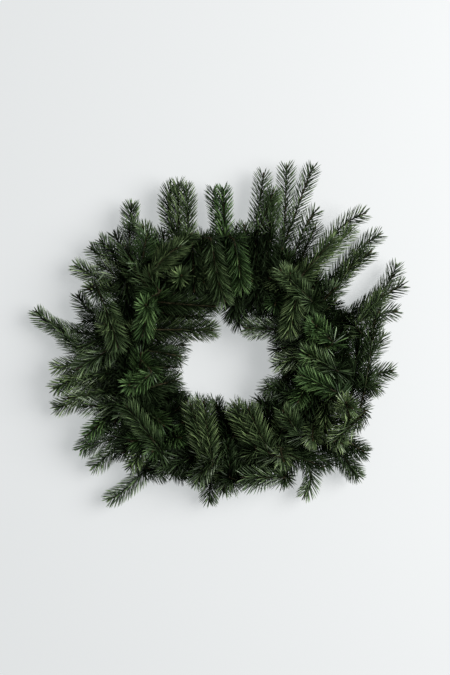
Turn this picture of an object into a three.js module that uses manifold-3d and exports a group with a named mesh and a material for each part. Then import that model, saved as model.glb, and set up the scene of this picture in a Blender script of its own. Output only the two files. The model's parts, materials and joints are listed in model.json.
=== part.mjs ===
// An evergreen wreath, lying on its back with its face up: a ring of willow rods pressed into one bundle
// with a flat back, the wire that binds it, and fir sprigs whose cut ends are pushed into it all round.
// Millimetres, +Z up. The origin is the middle of the wreath's footprint, on the surface that it lies on.
import * as THREE from "three";
import { mergeVertices } from "three/addons/utils/BufferGeometryUtils.js";
import Module from "manifold-3d";

// The willow ring
const RING_RADIUS = 123; // from the ring's middle to the middle of its tube
const TUBE_HALF_WIDTH = 10.5;
const TUBE_HEIGHT = 19;
const TUBE_MIDDLE = 9; // height of the middle of the tube
const BACK_HALF_WIDTH = 7; // the back is flat over this width, where the ring lies on the surface
const TIES_AT = [5, 40, 81, 127.5, 163.5, 205, 241, 282, 326.5]; // degrees round the ring
const RING_STEP = 13; // degrees between cross-sections of the ring, at most
const TIE_WAIST = 2.2; // how far each turn of wire bites into the bundle
const TIE_HALF_LENGTH = 2.6; // half the length of the nipped waist, along the ring
const TIE_SLOPE = 2; // length over which the bundle swells again, each side of a waist

// The binding wire
const WIRE_RADIUS = 0.7;
const WIRE_SIDES = 3;
const FIT_GAP = 0.35; // between two pieces that touch

// The sprigs
const STEM_RADIUS = 2.3; // of a three-sided stem, to its corners
const STEM_TIP_RADIUS = 1.7;
const SOCKET_DEPTH_FROM = 4; // a cut end sits this far from the middle of the tube
const STRAIGHT_TO = 15; // and runs straight out this far before it bends
const NEEDLE_LENGTH = 22;
const TIP_NEEDLE_LENGTH = 19;
const NEEDLE_ROOT_RADIUS = 2;
const LEAN_AT_BASE = 46; // degrees between a needle and its stem
const LEAN_AT_TIP = 25;
const WHORL_SPACING = 14.5;
const WHORL_HEIGHT = 2.8;
const FIRST_WHORL = 9; // beyond the ring, or beyond the fork
const BUD_LENGTH = 8;
const TIP_ZONE = 26; // over this last length needles grow shorter and lean further forwards
const FLATTEST_LEAN = 12; // degrees
const FLATTEST_EXIT = 14; // degrees above level, at which a sprig leaves the ring outwards or inwards
const SIDEWAYS_EXIT = 0.35; // how much it leaves sideways, where its tip lies to one side
const NEEDLE_RING_CLEAR = 14; // needles keep this far from the middle of the tube
// Ways to bend a needle that has no room: lean it by so many degrees more, turn it round its stem, or
// shorten it.
const NEEDLE_BENDS = [
  [0, 0, 1],
  [-10, 0, 1],
  [0, 18, 1],
  [0, -18, 1],
  [12, 0, 1],
  [-16, 14, 1],
  [-16, -14, 1],
  [0, 0, 0.8],
  [-14, 0, 0.75],
];

// How springy twigs settle among one another
const SAMPLE_SPACING = 8;
const SETTLE_STEPS = 40;
const TWIG_CLEAR = 12; // twigs of different sprigs push one another when they are nearer than this
const RING_CLEAR = 18; // from the middle of the tube
const FLOOR_CLEAR = 15; // above the surface below
const TWIG_PUSH = 0.25; // share of the shortfall that each step makes good
const FIRM_PUSH = 0.5; // the same, for the ring and the surface
const SIDEWAYS_GIVE = 0.45; // twigs move aside this much for each millimetre that they move up or down

const DEG = Math.PI / 180;

// Each sprig: the angle round the ring where it is pushed in, the tip of its leading shoot, how far that
// shoot bows to its left, and its side shoots, each as [share of the way up the leader, tip x, y, z].
// tilt is the angle round the tube, from 0 outwards to 180 inwards, where it isn't simply towards the tip.
const OUTER_SPRIGS = [
  { at: -12, tip: [218, 30, 34], bow: -22, tone: "deep", sides: [[0.5, 208, 60, 58]] },
  {
    at: 16, tip: [238, 127, 26], bow: -30, tone: "deep",
    sides: [[0.35, 243, 100, 44], [0.22, 237, 64, 30]],
  },
  { at: 33, tip: [214, 172, 24], bow: 12, tone: "deep", sides: [[0.2, 199, 146, 44]] },
  { at: 45, tip: [190, 199, 46], bow: 26, tone: "olive", sides: [] },
  { at: 54, tip: [123, 203, 40], bow: 8, tone: "deep", sides: [] },
  { at: 62, tip: [120, 266, 26], bow: 0, tone: "deep", sides: [[0.25, 84, 266, 32]] },
  {
    at: 76, tilt: 70, tip: [51, 256, 28], bow: -3, tone: "deep",
    sides: [[0.25, 64, 228, 54], [0.2, 24, 181, 48], [0.12, 34, 106, 62]],
  },
  {
    at: 90, tilt: 112, tip: [-6, 232, 46], bow: 0, tone: "blue",
    sides: [[0.25, -18, 233, 28], [0.12, 4, 94, 62]],
  },
  {
    at: 107, tilt: 95, tip: [-77, 239, 28], bow: 40, tone: "olive",
    sides: [[0.3, -57, 236, 42], [0.2, -34, 164, 52], [0.12, -32, 104, 60]],
  },
  { at: 118, tip: [-134, 212, 30], bow: 40, tone: "deep", sides: [[0.3, -115, 178, 60]] },
  {
    at: 136, tip: [-190, 151, 26], bow: 0, tone: "deep",
    sides: [[0.3, -175, 161, 44], [0.4, -157, 171, 26]],
  },
  { at: 146, tip: [-212, 127, 28], bow: 0, tone: "olive", sides: [[0.3, -189, 94, 60]] },
  { at: 158, tip: [-208, 84, 30], bow: 30, tone: "deep", sides: [] },
  { at: 167, tip: [-268, 62, 24], bow: 34, tone: "deep", sides: [] },
  { at: 179, tip: [-239, -15, 36], bow: 0, tone: "olive", sides: [[0.3, -237, -43, 50]] },
  { at: 190, tip: [-240, -71, 24], bow: 10, tone: "olive", sides: [] },
  { at: 201, tip: [-204, -130, 30], bow: 0, tone: "blue", sides: [[0.35, -192, -106, 48]] },
  { at: 214, tip: [-188, -155, 24], bow: 8, tone: "deep", sides: [] },
  { at: 225, tip: [-132, -150, 48], bow: 0, tone: "olive", sides: [] },
  { at: 236, tip: [-165, -201, 22], bow: 14, tone: "deep", sides: [] },
  { at: 251, tip: [-41, -174, 44], bow: 0, tone: "deep", sides: [[0.2, -77, -152, 28]] },
  { at: 264, tip: [-24, -202, 24], bow: -6, tone: "deep", sides: [[0.35, -5, -183, 34]] },
  { at: 299, tip: [20, -173, 44], bow: 46, tone: "blue", sides: [] },
  { at: 309, tip: [110, -194, 24], bow: 34, tone: "deep", sides: [[0.3, 78, -172, 26]] },
  { at: 319, tip: [183, -167, 26], bow: 0, tone: "deep", sides: [[0.4, 192, -134, 36]] },
  { at: 333, tip: [195, -75, 28], bow: 0, tone: "deep", sides: [] },
  { at: 344, tip: [230, -20, 30], bow: 0, tone: "deep", sides: [[0.4, 206, -46, 40]] },
];
const INNER_SPRIGS = [
  { at: 12, tip: [78, 18, 20], bow: 0, tone: "deep", sides: [] },
  { at: 35, tip: [31, 40, 48], bow: 10, tone: "olive", sides: [] },
  { at: 52, tip: [66, 73, 60], bow: 0, tone: "blue", sides: [[0.2, 88, 49, 70]] },
  { at: 86, tip: [10, 56, 20], bow: 0, tone: "deep", sides: [[0.3, 0, 82, 18]] },
  { at: 116, tip: [-30, 88, 24], bow: 0, tone: "deep", sides: [] },
  { at: 143, tip: [-24, 76, 44], bow: 0, tone: "olive", sides: [] },
  { at: 160, tip: [-22, 38, 58], bow: 0, tone: "olive", sides: [] },
  { at: 174, tip: [-62, 17, 20], bow: 0, tone: "deep", sides: [[0.3, -68, -5, 22]] },
  { at: 200, tip: [-76, -34, 20], bow: 0, tone: "deep", sides: [[0.3, -62, -60, 18]] },
  { at: 252, tip: [-40, -62, 56], bow: 0, tone: "blue", sides: [[0.3, -60, -90, 60]] },
  { at: 262, tip: [-18, -64, 24], bow: 0, tone: "deep", sides: [] },
  { at: 272, tip: [-14, -68, 52], bow: 0, tone: "blue", sides: [[0.2, 10, -108, 60]] },
  { at: 294, tip: [15, -70, 56], bow: 0, tone: "olive", sides: [[0.25, 34, -98, 60]] },
  { at: 314, tip: [45, -64, 28], bow: 0, tone: "deep", sides: [] },
  { at: 331, tip: [76, -42, 40], bow: 0, tone: "deep", sides: [] },
  { at: 351, tip: [76, -10, 40], bow: 0, tone: "deep", sides: [] },
];
const FACE_SPRIGS = [
  { at: 47, tip: [85, 113, 82], bow: 0, tone: "olive", sides: [[0.3, 60, 108, 56]] },
  { at: 28, tip: [147, 94, 60], bow: 0, tone: "deep", sides: [[0.3, 112, 80, 64]] },
  { at: 13, tip: [119, 43, 92], bow: 0, tone: "blue", sides: [[0.3, 138, 14, 58]] },
  { at: -2, tip: [111, 3, 78], bow: 0, tone: "blue", sides: [[0.3, 142, -16, 54]] },
  { at: -17, tip: [109, -29, 72], bow: 0, tone: "blue", sides: [[0.3, 98, -60, 60]] },
  { at: -22, tip: [166, -67, 92], bow: 0, tone: "olive", sides: [[0.3, 136, -94, 56]] },
  { at: -37, tip: [155, -116, 70], bow: 0, tone: "olive", sides: [[0.3, 116, -111, 78]] },
  { at: -58, tip: [76, -139, 80], bow: 0, tone: "olive", sides: [[0.3, 78, -85, 62], [0.25, 42, -118, 56]] },
  {
    at: 232, tip: [-101, -127, 68], bow: 0, tone: "blue",
    sides: [[0.3, -129, -116, 55], [0.25, -64, -110, 58]],
  },
  { at: 209, tip: [-143, -77, 62], bow: 0, tone: "blue", sides: [[0.3, -88, -92, 62]] },
  { at: 194, tip: [-130, -36, 98], bow: 0, tone: "blue", sides: [[0.3, -118, 4, 60]] },
  { at: 173, tip: [-165, 45, 76], bow: 0, tone: "olive", sides: [[0.3, -128, 38, 60]] },
  { at: 153, tip: [-109, 71, 90], bow: 0, tone: "blue", sides: [[0.3, -92, 90, 60]] },
  { at: 124, tip: [-62, 111, 80], bow: 0, tone: "olive", sides: [[0.3, -34, 122, 58]] },
  { at: 131, tip: [-122, 150, 60], bow: 0, tone: "blue", sides: [[0.3, -88, 150, 54]] },
];

// Colours
const TONES = { deep: 0x24382a, olive: 0x3d5230, blue: 0x2f4c3c };
const WILLOW_COLOUR = 0x4a3626;
const WIRE_COLOUR = 0x3f4a42;

const wasm = await Module();
wasm.setup();

// Unit vector away from the ring's middle, at an angle round it.
const outwards = (at) => new THREE.Vector3(Math.cos(at * DEG), Math.sin(at * DEG), 0);

// The nearest point on the circle through the middle of the tube.
function tubeMiddleNear(p) {
  const flat = Math.hypot(p.x, p.y);
  return new THREE.Vector3((p.x / flat) * RING_RADIUS, (p.y / flat) * RING_RADIUS, TUBE_MIDDLE);
}

// A leading shoot's path: straight out of its hole, then a curve to its tip.
function leaderPath({ at, tilt, tip, bow }) {
  const out = outwards(at);
  const middle = out.clone().multiplyScalar(RING_RADIUS).setZ(TUBE_MIDDLE);
  const end = new THREE.Vector3(...tip);
  const towards = end.clone().sub(middle);
  const towardsTip = Math.atan2(towards.z, towards.dot(out)) / DEG;
  const angle = (tilt ?? THREE.MathUtils.clamp(towardsTip, FLATTEST_EXIT, 180 - FLATTEST_EXIT)) * DEG;
  const along = new THREE.Vector3(-out.y, out.x, 0);
  const heading = out
    .clone()
    .multiplyScalar(Math.cos(angle))
    .add(new THREE.Vector3(0, 0, Math.sin(angle)))
    .addScaledVector(along, (SIDEWAYS_EXIT * towards.dot(along)) / towards.length())
    .normalize();
  const start = middle.clone().addScaledVector(heading, SOCKET_DEPTH_FROM);
  const leave = middle.clone().addScaledVector(heading, STRAIGHT_TO);
  return [start, ...curvePoints(leave, heading, end, bow)];
}

// Points about SAMPLE_SPACING apart on a curve that leaves along heading and ends at end.
function curvePoints(leave, heading, end, bow) {
  const chord = end.clone().sub(leave);
  const left = new THREE.Vector3(-chord.y, chord.x, 0).normalize();
  const curve = new THREE.CubicBezierCurve3(
    leave,
    leave.clone().addScaledVector(heading, 0.3 * chord.length()),
    end.clone().addScaledVector(chord, -0.33).addScaledVector(left, bow),
    end,
  );
  return curve.getPoints(Math.max(4, Math.round(chord.length() / SAMPLE_SPACING)));
}

// A side shoot's path: it forks off its leader at a sharp angle and bends to its own tip.
function sidePath(leader, [share, ...tip]) {
  const forkIndex = Math.max(2, Math.round(share * (leader.length - 1)));
  const fork = leader[forkIndex];
  const ahead = leader[forkIndex + 1].clone().sub(fork).normalize();
  const end = new THREE.Vector3(...tip);
  const heading = ahead.add(end.clone().sub(fork).normalize()).normalize();
  return { forkIndex, points: curvePoints(fork.clone(), heading, end, 0) };
}

// Every shoot of every sprig, before settling. A leader's first two points stay fixed in its hole.
function layOutShoots() {
  const groups = { outer: OUTER_SPRIGS, inner: INNER_SPRIGS, face: FACE_SPRIGS };
  const shoots = [];
  let sprig = 0;
  for (const [group, list] of Object.entries(groups)) {
    list.forEach((entry, i) => {
      const name = `${group}_sprig_${String(i + 1).padStart(2, "0")}`;
      const leader = { sprig, name, tone: entry.tone, parent: null, fixed: 2, rest: leaderPath(entry) };
      shoots.push(leader);
      for (const side of entry.sides) {
        const { forkIndex, points } = sidePath(leader.rest, side);
        shoots.push({ sprig, name, tone: entry.tone, parent: leader, forkIndex, fixed: 1, rest: points });
      }
      sprig += 1;
    });
  }
  return shoots;
}

// Twigs of different sprigs push one another apart, and away from the ring and the surface below.
function settle(shoots) {
  for (const s of shoots) {
    s.shift = s.rest.map(() => new THREE.Vector3());
    s.points = s.rest.map((p) => p.clone());
  }
  const all = shoots.flatMap((s) => s.points.map((point) => ({ s, point })));
  for (let step = 0; step < SETTLE_STEPS; step++) {
    const pushes = all.map(({ s, point }) => {
      const push = new THREE.Vector3();
      for (const other of all) {
        if (other.s.sprig === s.sprig) continue;
        const apart = point.clone().sub(other.point);
        const distance = apart.length();
        if (distance > TWIG_CLEAR) continue;
        push.addScaledVector(apart, (TWIG_PUSH * (TWIG_CLEAR - distance)) / distance);
      }
      push.x *= SIDEWAYS_GIVE;
      push.y *= SIDEWAYS_GIVE;
      const fromTube = point.clone().sub(tubeMiddleNear(point));
      const depth = fromTube.length();
      if (depth < RING_CLEAR) push.addScaledVector(fromTube, (FIRM_PUSH * (RING_CLEAR - depth)) / depth);
      if (point.z < FLOOR_CLEAR) push.z += FIRM_PUSH * (FLOOR_CLEAR - point.z);
      return push;
    });
    let i = 0;
    for (const s of shoots) for (const shift of s.shift) shift.add(pushes[i++]);
    for (const s of shoots) smoothShift(s);
    for (const s of shoots) s.points.forEach((p, k) => p.copy(s.rest[k]).add(s.shift[k]));
  }
}

// Spreads a twig's movement along it, with its root held, or carried by the leader that it forks from.
function smoothShift(s) {
  const before = s.shift.map((v) => v.clone());
  const last = before.length - 1;
  for (let k = 0; k <= last; k++) {
    if (k < s.fixed) {
      s.shift[k].copy(s.parent ? s.parent.shift[s.forkIndex] : new THREE.Vector3());
    } else if (k === last) {
      s.shift[k].copy(before[k]).add(before[k - 1]).multiplyScalar(0.5);
    } else {
      const around = before[k - 1].clone().add(before[k + 1]);
      s.shift[k].copy(before[k]).multiplyScalar(0.5).addScaledVector(around, 0.25);
    }
  }
}

// The ring's own outline, cut across: width out from the middle of the tube, and height.
const TUBE_OUTLINE = [
  [BACK_HALF_WIDTH, 0],
  [TUBE_HALF_WIDTH, 0.3 * TUBE_HEIGHT],
  [TUBE_HALF_WIDTH - 0.5, 0.68 * TUBE_HEIGHT],
  [0.45 * TUBE_HALF_WIDTH, TUBE_HEIGHT],
  [-0.45 * TUBE_HALF_WIDTH, TUBE_HEIGHT],
  [0.5 - TUBE_HALF_WIDTH, 0.68 * TUBE_HEIGHT],
  [-TUBE_HALF_WIDTH, 0.3 * TUBE_HEIGHT],
  [-BACK_HALF_WIDTH, 0],
];

// The outline moved outwards by a distance, each side staying parallel to itself.
function offsetOutline(distance) {
  const count = TUBE_OUTLINE.length;
  const sideOf = (i) => {
    const [x0, z0] = TUBE_OUTLINE[(i + count) % count];
    const [x1, z1] = TUBE_OUTLINE[(i + 1) % count];
    const length = Math.hypot(x1 - x0, z1 - z0);
    const normal = [(z1 - z0) / length, -(x1 - x0) / length];
    return { normal, reach: normal[0] * x0 + normal[1] * z0 + distance };
  };
  return TUBE_OUTLINE.map((corner, i) => {
    const a = sideOf(i - 1);
    const b = sideOf(i);
    const det = a.normal[0] * b.normal[1] - a.normal[1] * b.normal[0];
    const x = (a.reach * b.normal[1] - b.reach * a.normal[1]) / det;
    const z = (a.normal[0] * b.reach - b.normal[0] * a.reach) / det;
    return [x, z];
  });
}

// A point of the tube at an angle round the ring.
const onTube = (at, [width, height]) => outwards(at).multiplyScalar(RING_RADIUS + width).setZ(height);

// A closed band of cross-sections round the ring, each with the same number of corners.
function loftRing(sections) {
  const count = sections[0].length;
  const points = sections.flat();
  const faces = [];
  sections.forEach((section, i) => {
    const next = (i + 1) % sections.length;
    for (let k = 0; k < count; k++) {
      const a = i * count + k;
      const b = i * count + ((k + 1) % count);
      const c = next * count + ((k + 1) % count);
      const d = next * count + k;
      faces.push([a, c, b], [a, d, c]);
    }
  });
  return toManifold(points, faces);
}

// A solid from its corner points and three-cornered faces.
function toManifold(points, faces) {
  const mesh = new wasm.Mesh({
    numProp: 3,
    vertProperties: new Float32Array(points.flatMap((p) => [p.x, p.y, p.z])),
    triVerts: new Uint32Array(faces.flat()),
  });
  return new wasm.Manifold(mesh);
}

// Angles at which the ring is cut into sections: four round each tie, and evenly between the ties.
function ringStations() {
  const nip = TIE_HALF_LENGTH / RING_RADIUS / DEG;
  const rim = (TIE_HALF_LENGTH + TIE_SLOPE) / RING_RADIUS / DEG;
  const stations = [];
  TIES_AT.forEach((tie, i) => {
    const following = i + 1 < TIES_AT.length ? TIES_AT[i + 1] : TIES_AT[0] + 360;
    stations.push({ at: tie - rim, nipped: false }, { at: tie - nip, nipped: true });
    stations.push({ at: tie + nip, nipped: true }, { at: tie + rim, nipped: false });
    const from = tie + rim;
    const span = following - rim - from;
    const steps = Math.round(span / RING_STEP);
    for (let k = 1; k < steps; k++) stations.push({ at: from + (span * k) / steps, nipped: false });
  });
  return stations;
}

// The ring, with a hole for each sprig.
function makeWillowRing(shoots) {
  const full = offsetOutline(0);
  const nipped = offsetOutline(-TIE_WAIST);
  const sections = ringStations().map(({ at, nipped: isNipped }) =>
    (isNipped ? nipped : full).map((corner) => onTube(at, corner)),
  );
  const holes = shoots.filter((s) => !s.parent).map(makeHole);
  return loftRing(sections).subtract(wasm.Manifold.union(holes));
}

// The three-cornered hole that a cut stem is pushed into, a little wider than the stem.
function makeHole(shoot) {
  const [start, leave] = shoot.sections;
  const radius = STEM_RADIUS + 2 * FIT_GAP;
  const bottom = start.centre.clone().addScaledVector(start.along, -FIT_GAP);
  const top = leave.centre.clone().addScaledVector(start.along, STEM_RADIUS);
  const points = [...cornersAround(bottom, start, radius, 0), ...cornersAround(top, start, radius, 0)];
  return wasm.Manifold.hull(points.map((p) => [p.x, p.y, p.z]));
}

// The binding wire's path: one turn round the tube at each tie, and a run along its outer side between ties.
function wirePath() {
  const lift = FIT_GAP + WIRE_RADIUS;
  const full = offsetOutline(lift);
  const nipped = offsetOutline(lift - TIE_WAIST);
  const along = (outline) => outline[1].map((value, axis) => 0.85 * value + 0.15 * outline[2][axis]);
  const drift = (0.65 * TIE_HALF_LENGTH) / RING_RADIUS / DEG;
  const turn = [along(nipped), ...nipped.slice(2), nipped[0], nipped[1], along(nipped)];
  const path = [];
  const stations = ringStations();
  stations.forEach(({ at, nipped: isNipped }, i) => {
    if (!isNipped) {
      path.push(onTube(at, along(full)));
    } else if (stations[(i + 1) % stations.length].nipped) {
      const tie = (at + stations[i + 1].at) / 2;
      turn.forEach((corner, k) => {
        const share = (2 * k) / (turn.length - 1) - 1;
        path.push(onTube(tie + share * drift, corner));
      });
    }
  });
  return path;
}

// The wire is a closed loop, three-sided where it is cut across, with one corner turned away from the tube.
// At a bend its section is stretched across, so that each length keeps its thickness.
function makeWire() {
  const path = wirePath();
  const count = path.length;
  const points = [];
  const faces = [];
  path.forEach((p, i) => {
    const before = p.clone().sub(path[(i + count - 1) % count]).normalize();
    const after = path[(i + 1) % count].clone().sub(p).normalize();
    const along = before.clone().add(after).normalize();
    const away = p.clone().sub(tubeMiddleNear(p));
    away.addScaledVector(along, -away.dot(along)).normalize();
    const side = new THREE.Vector3().crossVectors(along, away);
    const across = after.clone().sub(before).normalize();
    for (let k = 0; k < WIRE_SIDES; k++) {
      const angle = (360 / WIRE_SIDES) * k * DEG;
      const corner = away.clone().multiplyScalar(WIRE_RADIUS * Math.cos(angle));
      corner.addScaledVector(side, WIRE_RADIUS * Math.sin(angle));
      corner.addScaledVector(across, corner.dot(across) * (1 / before.dot(along) - 1));
      points.push(p.clone().add(corner));
    }
  });
  for (let i = 0; i < count; i++) {
    const next = (i + 1) % count;
    for (let k = 0; k < WIRE_SIDES; k++) {
      const other = (k + 1) % WIRE_SIDES;
      const a = i * WIRE_SIDES + k;
      const b = i * WIRE_SIDES + other;
      const c = next * WIRE_SIDES + other;
      const d = next * WIRE_SIDES + k;
      faces.push([a, b, c], [a, c, d]);
    }
  }
  return toManifold(points, faces);
}

// Three corners round a stem, a third of a turn apart.
function cornersAround(centre, section, radius, twist) {
  return [0, 1, 2].map((k) => {
    const angle = (twist + 120 * k) * DEG;
    return centre
      .clone()
      .addScaledVector(section.normal, radius * Math.cos(angle))
      .addScaledVector(section.side, radius * Math.sin(angle));
  });
}

// Cuts a shoot into sections: two for each whorl of needles, with a plain length of stem before each.
// Each section is turned a sixth of a turn from the last, except along the straight cut end.
function cutSections(shoot) {
  const fromLeader = shoot.parent ? 0 : 1;
  const curve = new THREE.CatmullRomCurve3(shoot.points.slice(fromLeader), false, "centripetal");
  const length = curve.getLength();
  const lastWhorl = length - BUD_LENGTH - WHORL_HEIGHT;
  const whorls = Math.max(2, Math.round((lastWhorl - FIRST_WHORL) / WHORL_SPACING) + 1);
  const stops = [{ share: 0, twist: 0, needles: false }];
  for (let w = 0; w < whorls; w++) {
    const from = FIRST_WHORL + ((lastWhorl - FIRST_WHORL) * w) / (whorls - 1);
    stops.push({ share: from / length, twist: 60, needles: false });
    stops.push({ share: (from + WHORL_HEIGHT) / length, twist: 60, needles: true });
  }
  const sections = [];
  let along = curve.getTangentAt(0);
  if (!shoot.parent) along = shoot.points[1].clone().sub(shoot.points[0]).normalize();
  const helper = Math.abs(along.z) < 0.8 ? new THREE.Vector3(0, 0, 1) : new THREE.Vector3(1, 0, 0);
  let normal = new THREE.Vector3().crossVectors(along, helper).normalize();
  let twist = 0;
  const add = (centre, tangent, radius, extra) => {
    const q = new THREE.Quaternion().setFromUnitVectors(along, tangent);
    normal = normal.clone().applyQuaternion(q).normalize();
    along = tangent.clone();
    const side = new THREE.Vector3().crossVectors(along, normal);
    sections.push({ centre, along: along.clone(), normal: normal.clone(), side, radius, ...extra });
  };
  if (!shoot.parent) {
    add(shoot.points[0].clone(), along, STEM_RADIUS, { twist, needles: false, left: length });
  }
  for (const stop of stops) {
    const radius = THREE.MathUtils.lerp(STEM_RADIUS, STEM_TIP_RADIUS, stop.share);
    twist += stop.twist;
    const tangent = sections.length === 1 && !shoot.parent ? along : curve.getTangentAt(stop.share);
    const left = length * (1 - stop.share);
    add(curve.getPointAt(stop.share), tangent, radius, { twist, needles: stop.needles, left });
  }
  shoot.sections = sections;
  shoot.tip = curve.getPointAt(1);
  shoot.corners = sections.map((s) => cornersAround(s.centre, s, s.radius, s.twist));
}

// A repeatable number between -1 and 1 for each needle.
function scatter(seed) {
  const value = Math.sin(seed * 12.9898) * 43758.5453;
  return 2 * (value - Math.floor(value)) - 1;
}

// Every place where a needle can grow: six to each whorl.
function needleSites(shoots) {
  const sites = [];
  shoots.forEach((shoot) => {
    shoot.sections.forEach((section, i) => {
      if (!section.needles) return;
      const below = shoot.corners[i - 1];
      const above = shoot.corners[i];
      for (let k = 0; k < 3; k++) {
        const next = (k + 1) % 3;
        sites.push({ shoot, i, k, upper: 0, corners: [below[k], below[next], above[k]] });
        sites.push({ shoot, i, k, upper: 1, corners: [above[k], below[next], above[next]] });
      }
    });
  });
  sites.forEach((site, n) => {
    const section = site.shoot.sections[site.i];
    const [a, b, c] = site.corners;
    site.root = a.clone().add(b).add(c).divideScalar(3);
    site.out = b.clone().sub(a).cross(c.clone().sub(a)).normalize();
    site.out.addScaledVector(section.along, -site.out.dot(section.along)).normalize();
    site.along = section.along;
    site.left = section.left;
    site.seed = n + 1;
  });
  return sites;
}

// A needle's tip: it leans forwards more, and is shorter, the nearer it is to the end of its shoot.
function needleTip(site, [leanMore, turn, shorter]) {
  const nearTip = Math.max(0, 1 - site.left / TIP_ZONE);
  const usual = THREE.MathUtils.lerp(LEAN_AT_BASE, LEAN_AT_TIP, nearTip);
  const lean = Math.max(FLATTEST_LEAN, usual + 5 * scatter(site.seed) + leanMore) * DEG;
  const full = THREE.MathUtils.lerp(NEEDLE_LENGTH, TIP_NEEDLE_LENGTH, nearTip);
  const length = full * (1 + 0.07 * scatter(site.seed + 0.5)) * shorter;
  const out = site.out.clone().applyAxisAngle(site.along, (8 * scatter(site.seed + 0.25) + turn) * DEG);
  return site.root
    .clone()
    .addScaledVector(site.along, length * Math.cos(lean))
    .addScaledVector(out, length * Math.sin(lean));
}

// How near two straight rods come, each tapering from its own root radius to its tip radius.
function rodClearance(one, two) {
  const d1 = one.q.clone().sub(one.p);
  const d2 = two.q.clone().sub(two.p);
  const r = one.p.clone().sub(two.p);
  const a = d1.dot(d1);
  const e = d2.dot(d2);
  const f = d2.dot(r);
  const c = d1.dot(r);
  const b = d1.dot(d2);
  const denom = a * e - b * b;
  let s = denom > 1e-9 ? THREE.MathUtils.clamp((b * f - c * e) / denom, 0, 1) : 0;
  let t = (b * s + f) / e;
  if (t < 0) {
    t = 0;
    s = THREE.MathUtils.clamp(-c / a, 0, 1);
  } else if (t > 1) {
    t = 1;
    s = THREE.MathUtils.clamp((b - c) / a, 0, 1);
  }
  const distance = one.p.clone().addScaledVector(d1, s).distanceTo(two.p.clone().addScaledVector(d2, t));
  return distance - THREE.MathUtils.lerp(one.r0, one.r1, s) - THREE.MathUtils.lerp(two.r0, two.r1, t);
}

// Looks up the rods near a rod by the boxes of space that they pass through.
class RodStore {
  constructor(cell) {
    this.cell = cell;
    this.cells = new Map();
  }
  keys(p, q) {
    const keys = [];
    const low = p.clone().min(q).subScalar(STEM_RADIUS).divideScalar(this.cell).floor();
    const high = p.clone().max(q).addScalar(STEM_RADIUS).divideScalar(this.cell).floor();
    for (let x = low.x; x <= high.x; x++) {
      for (let y = low.y; y <= high.y; y++) {
        for (let z = low.z; z <= high.z; z++) keys.push(`${x},${y},${z}`);
      }
    }
    return keys;
  }
  add(rod) {
    for (const key of this.keys(rod.p, rod.q)) {
      if (!this.cells.has(key)) this.cells.set(key, []);
      this.cells.get(key).push(rod);
    }
  }
  near(p, q) {
    const found = new Set();
    for (const key of this.keys(p, q)) for (const rod of this.cells.get(key) ?? []) found.add(rod);
    return found;
  }
}

// Grows each needle where it has room. One that would cross another twig or needle is bent clear, or left
// out.
function growNeedles(shoots) {
  const store = new RodStore(TWIG_CLEAR);
  shoots.forEach((shoot) => {
    const line = [...shoot.sections.map((s) => s.centre), shoot.tip];
    for (let i = 1; i < line.length; i++) {
      store.add({ shoot, p: line[i - 1], q: line[i], r0: STEM_RADIUS, r1: STEM_RADIUS, stem: true });
    }
  });
  const sites = needleSites(shoots).sort((a, b) => a.left - b.left || a.seed - b.seed);
  let grown = 0;
  for (const site of sites) {
    for (const change of NEEDLE_BENDS) {
      const tip = needleTip(site, change);
      if (!hasRoom(site, tip, store)) continue;
      site.tip = tip;
      store.add({ shoot: site.shoot, p: site.root, q: tip, r0: NEEDLE_ROOT_RADIUS, r1: 0, stem: false });
      grown += 1;
      break;
    }
  }
  return { sites, grown };
}

// Whether a needle stays above the surface, clear of the ring, and clear of every twig and needle near it.
function hasRoom(site, tip, store) {
  if (tip.z < FIT_GAP) return false;
  const middle = site.root.clone().lerp(tip, 0.5);
  for (const p of [tip, middle, site.root]) {
    if (p.distanceTo(tubeMiddleNear(p)) < NEEDLE_RING_CLEAR) return false;
  }
  for (const rod of store.near(site.root, tip)) {
    const sameShoot = rod.shoot === site.shoot;
    if (sameShoot && (rod.stem || rod.p.distanceTo(site.root) < 2 * STEM_RADIUS + 1)) continue;
    const needed = rod.shoot.sprig === site.shoot.sprig ? 0 : FIT_GAP;
    if (rodClearance({ p: site.root, q: tip, r0: NEEDLE_ROOT_RADIUS, r1: 0 }, rod) < needed) return false;
  }
  return true;
}

// One shoot as a closed solid: a slim three-sided stem whose facets are raised into needles.
function shootSolid(shoot, sites) {
  const points = shoot.corners.flat();
  const faces = [[0, 2, 1]];
  const raised = sites.filter((site) => site.shoot === shoot);
  shoot.sections.forEach((section, i) => {
    if (i === 0) return;
    const a = (i - 1) * 3;
    const b = i * 3;
    const twisted = section.twist !== shoot.sections[i - 1].twist;
    for (let k = 0; k < 3; k++) {
      const n = (k + 1) % 3;
      const pair = twisted
        ? [[a + k, a + n, b + k], [b + k, a + n, b + n]]
        : [[a + k, a + n, b + n], [a + k, b + n, b + k]];
      pair.forEach((face, upper) => {
        const site = raised.find((r) => r.i === i && r.k === k && r.upper === upper);
        if (section.needles && site?.tip) {
          const apex = points.push(site.tip) - 1;
          faces.push([face[0], face[1], apex], [face[1], face[2], apex], [face[2], face[0], apex]);
        } else {
          faces.push(face);
        }
      });
    }
  });
  const top = (shoot.sections.length - 1) * 3;
  const apex = points.push(shoot.tip) - 1;
  for (let k = 0; k < 3; k++) faces.push([top + k, top + ((k + 1) % 3), apex]);
  return toManifold(points, faces);
}

// Sprigs that share a name are one piece: the leading shoot and the side shoots that fork from it.
function makeSprigs(shoots, sites) {
  const sprigs = new Map();
  for (const shoot of shoots) {
    const solid = shootSolid(shoot, sites);
    const before = sprigs.get(shoot.name);
    sprigs.set(shoot.name, { tone: shoot.tone, solid: before ? before.solid.add(solid) : solid });
  }
  return sprigs;
}

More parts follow.
